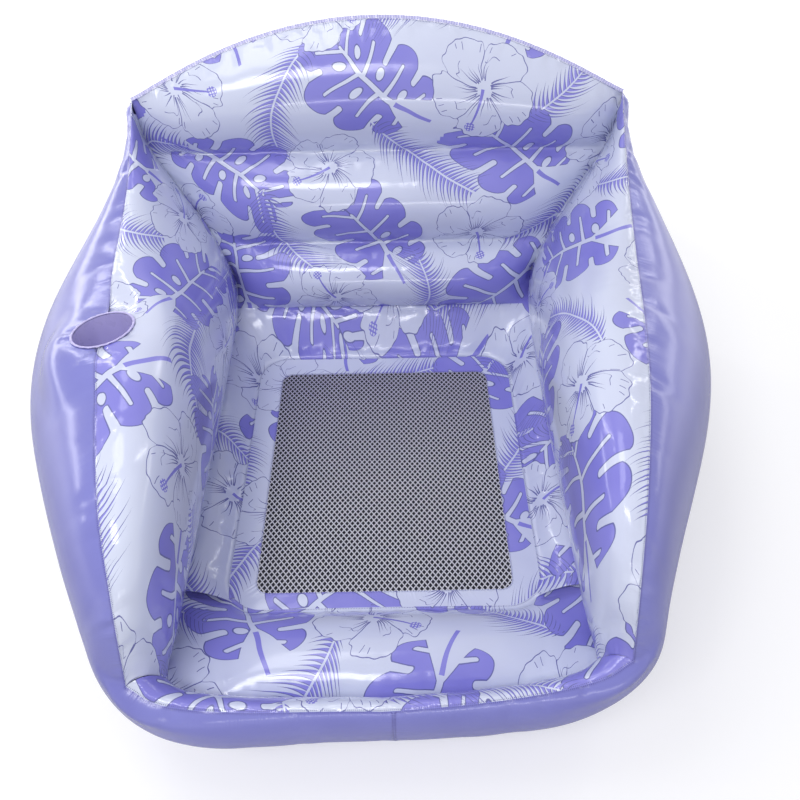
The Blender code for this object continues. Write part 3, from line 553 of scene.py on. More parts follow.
class Field:
    """A value that changes over a surface; arithmetic on it lays down Math nodes."""

    def __init__(self, tree, socket):
        self.tree = tree
        self.socket = socket

    def math(self, operation, *others):
        node = self.tree.nodes.new("ShaderNodeMath")
        node.operation = operation
        for slot, value in zip(node.inputs, (self, *others)):
            if isinstance(value, Field):
                self.tree.links.new(value.socket, slot)
            else:
                slot.default_value = value
        return Field(self.tree, node.outputs[0])

    __add__ = partialmethod(math, "ADD")
    __sub__ = partialmethod(math, "SUBTRACT")
    __mul__ = partialmethod(math, "MULTIPLY")
    __truediv__ = partialmethod(math, "DIVIDE")
    __lt__ = partialmethod(math, "LESS_THAN")
    __gt__ = partialmethod(math, "GREATER_THAN")
    size = partialmethod(math, "ABSOLUTE")
    least = partialmethod(math, "MINIMUM")
    most = partialmethod(math, "MAXIMUM")

    def between(self, low, high):
        """0 at low and 1 at high, held outside them."""
        node = self.tree.nodes.new("ShaderNodeMapRange")
        node.inputs["From Min"].default_value = low
        node.inputs["From Max"].default_value = high
        self.tree.links.new(self.socket, node.inputs["Value"])
        return Field(self.tree, node.outputs["Result"])


def length_of(across, along):
    return ((across * across) + (along * along)).math("SQRT")


class Finish:
    """A vinyl's node tree, with the few steps that every finish here is made of."""

    def __init__(self, name, roughness):
        self.material = bpy.data.materials.new(name)
        self.material.use_nodes = True
        self.tree = self.material.node_tree
        self.shader = self.tree.nodes["Principled BSDF"]
        self.shader.inputs["Roughness"].default_value = roughness

    def give(self, slot, value):
        """Joins a field or socket to an input, or sets the input to a plain value."""
        if isinstance(value, Field):
            value = value.socket
        if isinstance(value, bpy.types.NodeSocket):
            self.tree.links.new(value, slot)
        else:
            slot.default_value = value

    def node(self, kind, **inputs):
        made = self.tree.nodes.new("ShaderNode" + kind)
        for name, value in inputs.items():
            self.give(made.inputs[name], value)
        return made

    def spot(self):
        return self.node("TexCoord").outputs["Object"]

    def map(self, name):
        source = self.node("UVMap")
        source.uv_map = name
        return source.outputs["UV"]

    def parts(self, source):
        """The first two values of a vector."""
        split = self.node("SeparateXYZ", Vector=source)
        return [Field(self.tree, split.outputs[axis]) for axis in "XY"]

    def noise(self, scale):
        made = self.node("TexNoise", Vector=self.spot(), Scale=scale, Detail=2.0)
        return Field(self.tree, made.outputs["Fac"])

    def mix(self, share, under, over):
        """One colour laid over another where share is 1."""
        made = self.tree.nodes.new("ShaderNodeMix")
        made.data_type = "RGBA"
        for number, value in ((0, share), (6, under), (7, over)):
            self.give(made.inputs[number], value)
        return made.outputs[2]

    def colour(self, socket):
        self.tree.links.new(socket, self.shader.inputs["Base Color"])

    def roughness(self, field):
        self.tree.links.new(field.socket, self.shader.inputs["Roughness"])

    def raised(self, height, distance):
        bump = self.node("Bump", Distance=distance, Height=height)
        self.tree.links.new(bump.outputs["Normal"], self.shader.inputs["Normal"])


def painted(red, green, blue):
    """A colour given as it shows, 0 to 255, for a shader's socket."""
    shares = [value / 255 for value in (red, green, blue)]
    return (*[share / 12.92 if share < 0.04045 else ((share + 0.055) / 1.055) ** 2.4 for share in shares], 1)


WELD_PITCH = 0.0023
WELD_BAND = 0.0032
WELD_TICK_SHARE = 0.22
# The inked ticks run between these shares of the knurled band
TICK_FROM, TICK_TO = 0.25, 0.62
CREASES_PER_METRE = 150
CREASE_DRIFT = 14
CREASE_FADE = 75
TICK_RELIEF = 0.5
CREASE_RELIEF = 2.2


def place_group(name, outputs):
    """An empty node group that reads a UV map: its tree, the two values of the map and its output node."""
    tree = bpy.data.node_groups.new(name, "ShaderNodeTree")
    tree.interface.new_socket("Place", in_out="INPUT", socket_type="NodeSocketVector")
    for output in outputs:
        tree.interface.new_socket(output, in_out="OUTPUT", socket_type="NodeSocketFloat")
    entry = tree.nodes.new("NodeGroupInput")
    split = tree.nodes.new("ShaderNodeSeparateXYZ")
    tree.links.new(entry.outputs[0], split.inputs[0])
    fields = [Field(tree, split.outputs[axis]) for axis in range(2)]
    return tree, *fields, tree.nodes.new("NodeGroupOutput")


def given(tree, leave, **fields):
    """Joins each field to the group output of its name."""
    for name, field in fields.items():
        tree.links.new(field.socket, leave.inputs[name])
    return tree


def noise_at(tree, scale, detail, *values):
    """Noise read at the place that up to three values give."""
    point = tree.nodes.new("ShaderNodeCombineXYZ")
    for value, slot in zip(values, point.inputs):
        tree.links.new(value.socket, slot)
    noise = tree.nodes.new("ShaderNodeTexNoise")
    noise.inputs["Scale"].default_value = scale
    noise.inputs["Detail"].default_value = detail
    tree.links.new(point.outputs[0], noise.inputs["Vector"])
    return Field(tree, noise.outputs["Fac"])


def weld_group():
    """Heat-weld marks beside a seam: a knurled band, and fine creases that fade into the skin."""
    tree, along, away, leave = place_group("heat_weld", ("Band", "Line", "Height"))
    tick = ((along / WELD_PITCH).math("FRACT") - 0.5).size() < WELD_TICK_SHARE
    band = away < WELD_BAND
    creases = (noise_at(tree, 1, 2, along * CREASES_PER_METRE, away * CREASE_DRIFT) - 0.5).size()
    fade = (away * -CREASE_FADE).math("EXPONENT")
    line = (away < WELD_BAND * TICK_TO) * (away > WELD_BAND * TICK_FROM) * tick
    height = (band * tick * TICK_RELIEF) + (creases * fade * CREASE_RELIEF)
    return given(tree, leave, Band=band, Line=line, Height=height)


heat_weld = weld_group()


def add_group(finish, tree, map_name):
    """Places a node group that reads a UV map in a material, and gives its outputs."""
    group = finish.node("Group")
    group.node_tree = tree
    finish.tree.links.new(finish.map(map_name), group.inputs["Place"])
    return [Field(finish.tree, output) for output in group.outputs]


WALL_COLOUR = painted(119, 120, 194)
WALL_PALE = painted(128, 130, 203)
WALL_DARK = painted(92, 90, 164)


def wall_vinyl():
    finish = Finish("wall_vinyl", 0.24)
    band, line, height = add_group(finish, heat_weld, "weld")
    colour = finish.mix(finish.noise(9.0).between(0.35, 0.75), WALL_COLOUR, WALL_PALE)
    colour = finish.mix(band * 0.12, colour, WALL_DARK)
    colour = finish.mix(line, colour, WALL_DARK)
    finish.colour(colour)
    finish.roughness(finish.noise(55.0) * 0.08 + 0.17)
    finish.raised((finish.noise(150.0) * 0.03) + height, 0.0007)
    return finish.material


wall_material = wall_vinyl()
RIM_PUCKERS = (0.022, 0.0026, 0.050)
FOOT_PUCKERS = (0.028, 0.0045, 0.070)
LAP_PUCKERS = (0.050, 0.0012, 0.030)
# Long folds run down the wall from the two top corners, where the rim stands between these heights
CORNER_FOLDS = (0.034, 0.0045, 0.16)
FOLD_LOW = 0.45
FOLD_HIGH = 0.53
FOLD_IN = 0.30
FOLD_FADE = 0.06
# The two films stand close at each top corner, so the wall keeps clear of the cover there
CORNER_CLEAR = 0.007
CORNER_CLEAR_REACH = 0.035
CORNER_CLEAR_DEPTH = 0.30
CORNER_CLEAR_START = 0.015
# The foot's weld is held level over this width
FOOT_CALM = 0.02
# The wall is pressed flat and cut round under the flange of each air valve
VALVE_FLANGE_THICKNESS = 0.0012
VALVE_HOLE_RADIUS = 0.0085
VALVE_FLAT_RADIUS = 0.017
VALVE_BLEND_RADIUS = 0.055
VALVE_BLEND_DEPTH = 0.050


def valve_place(which):
    """Middle of the underside of a valve socket's flange, and the way that its stem pulls out."""
    joint = next(joint for joint in frame["joints"] if joint["name"] == which + "_valve_pull")
    axis = np.array(joint["axis"])
    socket = np.array([vertex.co for vertex in frame["nodes"][which + "_valve_socket"].data.vertices])
    heights = socket @ axis
    middle = socket.mean(axis=0)
    return middle + axis * (heights.max() - VALVE_FLANGE_THICKNESS - middle @ axis), axis


def pressed_to_valve(grid, place, axis):
    height, radius = about_axis(grid, place, axis)
    share = patch_share(height, radius, VALVE_FLAT_RADIUS, VALVE_BLEND_RADIUS, VALVE_BLEND_DEPTH)
    return grid - (share * (height + FILM / 4))[..., None] * axis


def make_wall(side, name):
    grid = half_wall(side)
    if side > 0:
        grid = grid[:, FRONT_LAP_COLUMNS:]
    else:
        grid = np.concatenate([grid[:, FRONT_LAP_COLUMNS:0:-1] * MIRROR, grid], axis=1)
    along, away = distances_across(grid, 0), distances_down(grid)
    foot, rear = away[-1] - away, along[:, -1:] - along
    rim = grid[0]
    high = eased((rim[:, 2] - FOLD_LOW) / (FOLD_HIGH - FOLD_LOW)) * eased((rim[:, 0] - FOLD_IN) / FOLD_FADE)
    dents = puckers(along, away, *RIM_PUCKERS, 11 + side)
    dents += puckers(along, away, *CORNER_FOLDS, 15 + side) * high
    dents += puckers(along, foot, *FOOT_PUCKERS, 21 + side)
    dents += puckers(away, along, *LAP_PUCKERS, 31 + side) + puckers(away, rear, *LAP_PUCKERS, 41 + side)
    gap = along - along[:, [rim[:, 0].argmax()]]
    dents = dents * eased(foot / FOOT_CALM) * eased(np.abs(gap) / CORNER_CLEAR_REACH)
    clear = np.exp(-(gap / CORNER_CLEAR_REACH) ** 2) * eased(away / CORNER_CLEAR_START)
    dents += CORNER_CLEAR * clear * eased(2 - 2 * away / CORNER_CLEAR_DEPTH)
    grid = grid + normals_of(grid, -1) * dents[..., None]
    if side < 0:
        grid = pressed_to_cup(grid * MIRROR)
    weld = paired(along, away)
    for beside, off in ((along, foot), (away, along), (away, rear)):
        weld = np.where((off < weld[..., 1])[..., None], paired(beside, off), weld)
    if side < 0:
        weld = weld_at_cup(grid, weld)
    valve = valve_place("upper" if side > 0 else "lower")
    mesh, place = skin_mesh(name, pressed_to_valve(settled(grid), *valve), -1)
    corner_values(mesh, "weld", weld.reshape(-1, 2)[place])
    if side < 0:
        open_for_cup(mesh)
    open_round(mesh, *valve, VALVE_HOLE_RADIUS, VALVE_HOLE_RADIUS)
    fitted(name, mesh, wall_material)


make_wall(1, "outer_wall_right")
make_wall(-1, "outer_wall_left")

# Printed covers
# Pale vinyl printed with leaves, palm fronds and flowers, cut to shape and welded to the wall along the rim.
# Weld lines in its valleys part it into the arms, the ridge, the front roll, the seat and the back's tubes.
COVER_BULGE = 0.108
TUBE_BULGE = 0.046
ROLL_BULGE = 0.045
SEAT_BULGE = 0.012
SHALLOW_SHARE = 0.45
TUBE_SQUARENESS = 6
ROLL_SQUARENESS = 4
COVER_STEP = 0.005
SEAT_CORNER, LOWER_CREASE, UPPER_CREASE, TOP_CORNER = 5, 6, 7, 8
ROLL_SEAM_STATION = 2
FRONT_SEAM_SHARES = (
    (0.000, -0.751, 0.203),
    (0.354, -0.742, 0.207),
    (0.595, -0.726, 0.216),
    (0.696, -0.702, 0.234),
)
ARM_SEAM_SHARES = (
    (0.696, -0.702, 0.234),
    (0.735, -0.590, 0.195),
    (0.760, -0.420, 0.180),
    (0.762, -0.170, 0.180),
    (0.750, 0.130, 0.188),
    (0.705, 0.653, 0.265),
    (0.749, 0.717, 0.458),
    (0.972, 0.802, 0.698),
    (0.997, 0.787, 0.815),
)
FRONT_COVER_SHARES = (0.18, 0.18, 0.20, 0.26)
ARM_COVER_SHARES = (0.26, 0.55, 0.80, 0.98, 1.00, 0.88, 0.55, 0.25, 0.10)
FRONT_LEAN_SHARES = ((0.00, 0.30, 0.95), (0.00, 0.30, 0.95), (-0.25, 0.25, 0.92), (-0.50, 0.10, 0.85))
ARM_LEAN_SHARES = (
    (-0.50, 0.10, 0.85),
    (-0.66, 0.10, 0.74),
    (-0.70, 0.00, 0.71),
    (-0.70, 0.00, 0.71),
    (-0.70, -0.05, 0.71),
    (-0.50, -0.57, 0.65),
    (-0.34, -0.82, 0.47),
    (-0.30, -0.88, 0.36),
    (-0.28, -0.90, 0.32),
)

# The print: one motif to each point of a triangular lattice, in turn a leaf, a flower and a frond
MOTIF_PITCH = 0.165
MOTIF_KINDS = ("leaf", "flower", "frond")
MOTIF_SIZES = {"leaf": (0.112, 0.126), "flower": (0.078, 0.092), "frond": (0.105, 0.122)}
MOTIF_REACH = 1.45
MOTIF_SEEDS = 4
MOTIF_STRAY = 0.014
ROW_RISE = 0.866
BLANK = (0.0, 9.0)

PRINT_BASE = painted(208, 214, 236)
PRINT_SHADE = painted(200, 205, 230)
PRINT_VIOLET = painted(141, 138, 218)
PRINT_DEEP = painted(128, 125, 211)
PRINT_LINE = painted(104, 106, 166)


def motif_places(low, high, seed):
    """Where each kind of motif lies on a flat piece of vinyl: place, turn, size and variant."""
    chance = np.random.default_rng(seed)
    start = chance.uniform(0, MOTIF_PITCH, 2)
    places = {kind: [] for kind in MOTIF_KINDS}
    rows = math.ceil((high[1] - low[1]) / MOTIF_PITCH / ROW_RISE) + 2
    columns = math.ceil((high[0] - low[0]) / MOTIF_PITCH) + 2
    for row in range(-1, rows):
        for column in range(-1 - rows // 2, columns):
            spot = np.array([column + row / 2, row * ROW_RISE]) * MOTIF_PITCH + low - start
            spot += chance.uniform(-MOTIF_STRAY, MOTIF_STRAY, 2)
            kind = MOTIF_KINDS[(column - row) % 3]
            size = chance.uniform(*MOTIF_SIZES[kind])
            turn = chance.uniform(0, 2 * math.pi)
            places[kind].append((*spot, turn, size, chance.integers(MOTIF_SEEDS)))
    return {kind: np.array(rows) for kind, rows in places.items()}


def print_on(mesh, place, flat, seed):
    """Gives each face the nearest motif of each kind, as places within that motif in a UV map."""
    flat = flat.reshape(-1, 2)
    motifs = motif_places(flat.min(axis=0), flat.max(axis=0), seed)
    corner = np.empty(len(mesh.loops), int)
    mesh.loops.foreach_get("vertex_index", corner)
    spots = flat[place][corner].reshape(-1, 4, 2)
    centres = spots.mean(axis=1)
    for kind in MOTIF_KINDS:
        rows = motifs[kind]
        gaps = np.linalg.norm(centres[:, None] - rows[None, :, :2], axis=2) / rows[:, 3]
        nearest = gaps.argmin(axis=1)
        across, along, turn, size, variant = rows[nearest].T
        offset = (spots - np.stack([across, along], axis=1)[:, None]) / size[:, None, None]
        cosine, sine = np.cos(turn)[:, None], np.sin(turn)[:, None]
        local = np.stack([offset[..., 0] * cosine + offset[..., 1] * sine,
                          offset[..., 1] * cosine - offset[..., 0] * sine], axis=-1)
        local[..., 0] += 4 * variant[:, None]
        local[gaps.min(axis=1) > MOTIF_REACH] = BLANK
        layer = mesh.uv_layers.new(name=kind)
        layer.data.foreach_set("uv", local.ravel())


# In the three motifs below, a length of 1 is the motif's own size and Y runs from its stalk to its tip.
# Other numbers are the places and half widths of its lobes, veins and strokes in that measure.
def motif_group(name, outputs):
    """A node group for a motif: its tree, the place in it, its variant number and its output node."""
    tree, across, along, leave = place_group(name, outputs)
    variant = ((across + 2) / 4).math("FLOOR")
    return tree, across - (variant * 4), along, variant, leave


def chance_of(tree, value):
    """A fixed random number from 0 to 1 for each whole value."""
    node = tree.nodes.new("ShaderNodeTexWhiteNoise")
    node.noise_dimensions = "1D"
    tree.links.new(value.socket, node.inputs["W"])
    return Field(tree, node.outputs["Value"])


def hand_drawn(tree, across, along, variant, scale, amount):
    """The place pushed about a little, so that no motif's edge runs true."""
    return [value + ((noise_at(tree, scale, 1, across + offset, along, variant * 3.7) - 0.5) * amount)
            for offset, value in ((0.0, across), (5.3, along))]


LEAF_LOBES = 2.7
LEAF_HALF_WIDTH = 0.82


def leaf_group():
    """A split leaf: fanned lobes with round ends, slits from the edge, pale veins and holes by the midrib."""
    tree, across, along, variant, leave = motif_group("split_leaf", ("Fill", "Edge"))
    across, along = hand_drawn(tree, across, along, variant, 1.3, 0.20)
    across = across - (((variant * 0.16) - 0.24) * along * along)
    out = across.size()
    side = across > 0
    spread = (out * 0.80) + 1
    fan = ((along - (out * 0.22)) / spread) + (side * 0.06)
    lobes = (fan + 0.66) * LEAF_LOBES
    lobe = lobes.math("FLOOR") + (side * 17) + (variant * 37)
    slit_number = (lobes + 0.5).math("FLOOR") + (side * 23) + (variant * 41)
    of_lobe = chance_of(tree, lobe)
    of_slit = chance_of(tree, slit_number + 0.5)
    of_hole = chance_of(tree, slit_number + 0.25)
    middle = lobes.math("FRACT") - 0.5
    spacing = spread * (0.92 / LEAF_LOBES)
    to_vein = middle.size() * spacing
    to_slit = ((middle.size() * -1) + 0.5) * spacing
    reach = (fan - 0.15) / 0.80
    width = ((reach * reach) * -1 + 1).most(0).math("SQRT") * LEAF_HALF_WIDTH
    edge = width * ((of_lobe * 0.12) + 0.90)
    radius = spacing * 0.47
    past = (out - edge + radius).most(0)
    lobe_end = radius - length_of(past, to_vein * (past > 0))
    slit_from = width * ((of_slit * 0.26) + 0.36)
    beyond = (out - slit_from).most(0)
    slit = length_of(to_slit, (slit_from - out).most(0)) - ((beyond * 0.05) + 0.034)
    vein_to = width * ((of_lobe * 0.22) + 0.50)
    vein = length_of(to_vein, (out - vein_to).most(0)) - ((out * -0.014) + 0.025)
    hole_at = width * ((of_hole * 0.08) + 0.17)
    hole = (length_of(to_slit / 0.050, (out - hole_at) / 0.080) - 1) * 0.05 + ((of_hole < 0.45) * 0.3)
    midrib = length_of(out, (along - 0.70).most(0)) - ((along * -0.018) + 0.032)
    notch = out - ((along * -1 - 0.22).most(0) * 0.60)
    inside = lobe_end.least(slit).least(vein).least(hole).least(midrib).least(notch)
    stalk = (out < ((along * 0.012) + 0.036)) * (along < -0.34) * (along > -0.90)
    return given(tree, leave, Fill=(inside > 0).most(stalk), Edge=(inside > 0) * (inside < 0.012))


FROND_LEAFLETS = 16


def frond_group():
    """A palm frond: a pale stalk with curved leaflets on both sides that end in fine strokes."""
    tree, across, along, variant, leave = motif_group("palm_frond", ("Fill", "Edge"))
    across, along = hand_drawn(tree, across, along, variant, 1.2, 0.10)
    across = across - (((variant * 0.26) - 0.38) * along * along)
    out = across.size()
    side = across > 0
    start = along - (out * 0.35) - (out * out * 1.25) + (side * 0.03)
    leaflets = start * FROND_LEAFLETS
    number = leaflets.math("FLOOR") + (side * 71) + (variant * 131)
    random = chance_of(tree, number)
    other = chance_of(tree, number + 0.5)
    middle = leaflets.math("FRACT") - 0.5 - ((other - 0.5) * out * 1.8)
    reach = (start + 0.02) / 0.96
    ends = ((reach * reach * reach * reach) * -1 + 1).most(0).math("SQRT")
    length = ends * ((random * 0.24) + 0.26)
    taper = ((out / length.most(0.01)) * -1 + 1).most(0)
    half = (taper * taper * 0.18) + (taper * 0.28)
    blade = (middle.size() < half) * (out > 0.014)
    return given(tree, leave, Fill=blade, Edge=blade * (middle > (half - 0.15)))


def flower_group():
    """A five-petalled flower in thin line: ruffled edge, folds between petals, short strokes and a stamen."""
    tree, across, along, variant, leave = motif_group("open_flower", ("Cover", "Line", "Stamen"))
    drawn_across, drawn_along = hand_drawn(tree, across, along, variant, 2.3, 0.14)
    radius = length_of(drawn_across, drawn_along)
    angle = drawn_along.math("ARCTAN2", drawn_across) + (radius * 0.35)
    petals = angle * (5 / (2 * math.pi))
    middle = petals.math("FRACT") - 0.5
    bulge = (middle * 2).size()
    ruffle = ((angle * 17) + ((angle * 5).math("SINE") * 3)).math("SINE") * 0.022
    rim = (bulge * bulge * bulge * -0.26) + 0.93 + ruffle + ((angle * 31).math("SINE") * 0.008)
    outline = (radius - rim).size() < 0.008
    inner_rim = (bulge * bulge * -0.20) + 0.60 + (ruffle * 1.6)
    curl = ((radius - inner_rim).size() < 0.007) * (middle > 0.10) * (middle < 0.42)
    fold = (((bulge * -1 + 1) * radius * 0.63) < 0.008) * (radius > 0.16)
    strokes = angle * (42 / (2 * math.pi))
    random = chance_of(tree, strokes.math("FLOOR") + (variant * 53))
    to_stroke = (strokes.math("FRACT") - 0.5).size() * radius * (2 * math.pi / 42)
    start = (random * 0.10) + 0.09
    finish = (random * 0.34) + 0.26
    taper = ((radius - start) / (finish - start)) * -1 + 1
    rays = (to_stroke < (taper * 0.012)) * (radius > start) * (random > 0.3)
    outer_random = chance_of(tree, strokes.math("FLOOR") + (variant * 53) + 400.5)
    from_rim = rim - radius
    ticks = (to_stroke < 0.006) * (from_rim > 0.05) * (from_rim < (outer_random * 0.20))
    ticks = ticks * (outer_random > 0.66)
    line = outline.most(fold).most(rays).most(ticks).most(curl) * (radius < (rim + 0.012))
    swing = across - (along * along * 0.22)
    stamen = (swing.size() < ((along * -0.022) + 0.030)) * (along > 0.0) * (along < 0.66)
    knob = length_of(across - 0.11, along - 0.72)
    dots = ((across * 62).math("SINE") * (along * 62).math("SINE")).size() < 0.55
    stamen = stamen.most((knob < 0.095) * dots)
    return given(tree, leave, Cover=radius < rim, Line=line, Stamen=stamen)


def printed_vinyl():
    finish = Finish("printed_vinyl", 0.22)
    band, line, height = add_group(finish, heat_weld, "weld")
    leaf, leaf_edge = add_group(finish, leaf_group(), "leaf")
    frond, frond_edge = add_group(finish, frond_group(), "frond")
    cover, flower_line, stamen = add_group(finish, flower_group(), "flower")
    base = finish.mix(finish.noise(6.0).between(0.35, 0.7), PRINT_BASE, PRINT_SHADE)
    violet = finish.mix(finish.noise(11.0).between(0.3, 0.7), PRINT_VIOLET, PRINT_DEEP)
    colour = base
    for share, over in ((leaf, violet), (leaf_edge, PRINT_LINE), (frond, violet), (frond_edge, PRINT_LINE),
                        (cover, base), (flower_line, PRINT_LINE), (stamen, PRINT_DEEP), (line, PRINT_LINE)):
        colour = finish.mix(share, colour, over)
    finish.colour(colour)
    finish.roughness(finish.noise(60.0) * 0.08 + 0.10)
    finish.raised((finish.noise(140.0) * 0.03) + height, 0.0007)
    return finish.material


print_material = printed_vinyl()


def printed_skin(name, grid, flat, weld, seed, dents, held_rows=None, cup=False, closed=False):
    """One printed skin: puckered, blown up where it holds air, laid in its place, printed and put on."""
    grid = grid + normals_of(grid, 1) * dents[..., None]
    if held_rows is not None:
        grid = wrinkled(name, grid, held_rows)
    if cup:
        grid = pressed_to_cup(grid)
        weld = weld_at_cup(grid, weld)
    mesh, place = skin_mesh(name, settled(grid), 1)
    corner_values(mesh, "weld", weld.reshape(-1, 2)[place])
    print_on(mesh, place, flat, seed)
    if cup:
        open_for_cup(mesh)
    if closed:
        closed_up(mesh)
    piece = fitted(name, mesh, print_material)


COVER_ROWS = 80
COVER_RIM_PUCKERS = (0.020, 0.0024, 0.045)
COVER_VALLEY_PUCKERS = (0.030, 0.0020, 0.035)
COVER_END_FOLDS = (0.030, 0.0030, 0.050)
COVER_END_PUCKERS = (0.009, 0.0016, 0.022)


def calmed(dents, width, *distances):
    """Dents that fade out within a width of each weld."""
    for distance in distances:
        dents = dents * eased(distance / width)
    return dents


def make_arm_cover(side, name):
    places = even_places(ARM_SEAM_SHARES, COVER_STEP)
    rim = through(ARM_RIM_SHARES, places) * REACH
    seam = through(ARM_SEAM_SHARES, places) * REACH
    swell = through(ARM_COVER_SHARES, places)[:, 0] * COVER_BULGE
    grid = swollen(rim, seam, swell, through(ARM_LEAN_SHARES, places), COVER_ROWS, FULL_SHARE)
    along, away = distances_across(grid, 0), distances_down(grid)
    middle = distances_across(grid, COVER_ROWS // 2)
    valley = away[-1] - away
    dents = puckers(along, away, *COVER_RIM_PUCKERS, 51 + side)
    dents += puckers(middle, valley, *COVER_VALLEY_PUCKERS, 61 + side)
    dents += (puckers(away, along, *COVER_END_FOLDS, 71 + side)
              + puckers(away, along, *COVER_END_PUCKERS, 75 + side))
    dents = calmed(dents, 0.01, away, valley)
    if side < 0:
        grid = grid * MIRROR
    printed_skin(name, grid, paired(middle, away), paired(along, away), 80 + side, dents, held_rows=(),
                 cup=side < 0)


make_arm_cover(1, "arm_cover_right")
make_arm_cover(-1, "arm_cover_left")


def widened(half):
    """A half curve that starts in the middle, made whole from -X to +X."""
    return np.concatenate([half[:0:-1] * MIRROR, half])


def carried_round(half):
    """A line from the front middle to the rear middle by +X, carried on to the front middle by -X."""
    return np.concatenate([half, half[-2::-1] * MIRROR[:half.shape[1]]])


RIDGE_PUCKERS = (0.024, 0.0016, 0.020)


def make_ridge():
    places = even_places(FRONT_RIM_SHARES, COVER_STEP)
    rim = widened(through(FRONT_RIM_SHARES, places) * REACH)
    seam = widened(through(FRONT_SEAM_SHARES, places) * REACH)
    half = through(FRONT_COVER_SHARES, places)[:, 0]
    swell = np.concatenate([half[:0:-1], half]) * COVER_BULGE
    grid = swollen(rim, seam, swell, widened(through(FRONT_LEAN_SHARES, places)), 20, FULL_SHARE)
    along, away = distances_across(grid, 0), distances_down(grid)
    valley = away[-1] - away
    dents = puckers(along, away, *RIDGE_PUCKERS, 91) + puckers(along, valley, *RIDGE_PUCKERS, 92)
    dents = calmed(dents, 0.006, valley)
    printed_skin("front_ridge_cover", grid, paired(grid[:, :, 0], away), paired(along, away), 93, dents,
                 held_rows=())


make_ridge()


def crease_line(place, columns):
    """A level crease across the back, between the same place on the two arm seams."""
    end = (through(ARM_SEAM_SHARES, [place]) * REACH)[0]
    return np.stack([end[0] * columns, np.full(len(columns), end[1]), np.full(len(columns), end[2])], axis=1)


def between_arms(start, end, places, columns, lean, bulge, count, squareness):
    """A roll from one line to another whose ends follow the arm seams between two places."""
    pull = np.abs(columns) ** squareness
    rows = swollen(start, end, bulge * (1 - pull), lean, count, SHALLOW_SHARE)
    along, _ = section_shares(count, SHALLOW_SHARE)
    path = through(ARM_SEAM_SHARES, np.linspace(places[0], places[1], CURVE_SAMPLES)) * REACH
    path = np.concatenate([start[-1:], path])
    travelled = lengths_along(path)
    side = interpolated(along * travelled[-1], travelled, path)
    straight = start[-1] + (end[-1] - start[-1]) * along[:, None]
    shift = (side - straight)[:, None] * pull[None, :, None]
    shift[:, columns < 0] *= MIRROR
    return rows + shift


# Beside the arch the film is gathered finely; beside the creases, and at the tubes' ends, more loosely
TUBE_FULLNESS = 1.15
ARCH_GATHERS = (0.011, 0.0030, 0.024)
CREASE_GATHERS = (0.034, 0.0020, 0.024)
CREASE_PUCKERS = (0.034, 0.0020, 0.030)
TUBE_END_PUCKERS = (0.020, 0.0030, 0.040)


def make_back():
    half = round(RIM_HALF_WIDTH / COVER_STEP)
    columns = np.linspace(-1, 1, 2 * half + 1)
    stations = (TOP_CORNER, UPPER_CREASE, LOWER_CREASE, SEAT_CORNER)
    lines = [widened(back_arch(half)[::-1])] + [crease_line(place, columns) for place in stations[1:]]
    tubes, dents, creases = [], [], []
    for number in range(3):
        upper, lower = lines[number], lines[number + 1]
        chord = lower - upper
        lean = np.stack([np.zeros(len(columns)), chord[:, 2], -chord[:, 1]], axis=1)
        count = round(np.linalg.norm(chord[half]) * TUBE_FULLNESS / COVER_STEP)
        tube = between_arms(upper, lower, stations[number:number + 2], columns, lean, TUBE_BULGE, count,
                            TUBE_SQUARENESS)
        down = distances_down(tube)
        along = distances_across(tube, count // 2)
        dent = puckers(along, down, *(CREASE_GATHERS if number else ARCH_GATHERS), 100 + number)
        dent += puckers(along, down[-1] - down, *CREASE_PUCKERS, 110 + number)
        side = np.minimum(along, along[:, -1:] - along)
        dent += puckers(down, side, *TUBE_END_PUCKERS, 120 + number)
        dent = calmed(dent, 0.008, down, down[-1] - down, side)
        creases.append(count + (creases[-1] if creases else 0))
        tubes.append(tube[1:] if number else tube)
        dents.append(dent[1:] if number else dent)
    grid = np.concatenate(tubes)
    down = distances_down(grid)
    printed_skin("back_cover", grid, paired(grid[:, :, 0], down[-1] - down),
                 paired(distances_across(grid, 0), down), 131, np.concatenate(dents), held_rows=creases)


make_back()

# Mesh frame and the skins welded to it
# A flat printed frame is welded round the net's edge, with its mate below, and holds the seat's rolls.
# The wide front roll and the low side and rear rolls end in a narrow lap on this frame.
SEAT_HEIGHT = 0.090
MESH_WIDTH = 0.380
MESH_LENGTH = 0.458
MESH_CORNER_RADIUS = 0.018
MESH_THICKNESS = 0.0008
MESH_TUCK = 0.012
FRAME_SIDE = 0.046
FRAME_FRONT = 0.032
FRAME_CORNER_RADIUS = 0.055
LAP_WIDTH = 0.006
LAP_HEIGHT = SEAT_HEIGHT + MESH_THICKNESS / 2 + 0.0010
FRAME_SLACK = 0.0008


def rounded_rectangle(spread_side, spread_front, radius):
    """Closed plan loop round the net's opening, anticlockwise from the front middle."""
    inner = MESH_WIDTH / 2 + spread_side - radius
    front = SEAT_ALONG - MESH_LENGTH / 2 - spread_front
    back = SEAT_ALONG + MESH_LENGTH / 2 + spread_side
    points = [np.array([0, front])]

    def run_to(goal):
        count = max(1, round(np.linalg.norm(np.array(goal) - points[-1]) / COVER_STEP))
        start = points[-1]
        points.extend(start + (np.array(goal) - start) * share for share in np.linspace(0, 1, count + 1)[1:])

    for across, along, first in ((inner, front + radius, -90), (inner, back - radius, 0),
                                 (-inner, back - radius, 90), (-inner, front + radius, 180)):
        turns = max(4, round(1.57 * radius / COVER_STEP))
        angles = np.radians(np.linspace(first, first + 90, turns + 1))
        run_to((across + radius * math.cos(angles[0]), along + radius * math.sin(angles[0])))
        points.extend(np.array([across + radius * math.cos(angle), along + radius * math.sin(angle)])
                      for angle in angles[1:])
    run_to((0, front))
    return np.array(points)


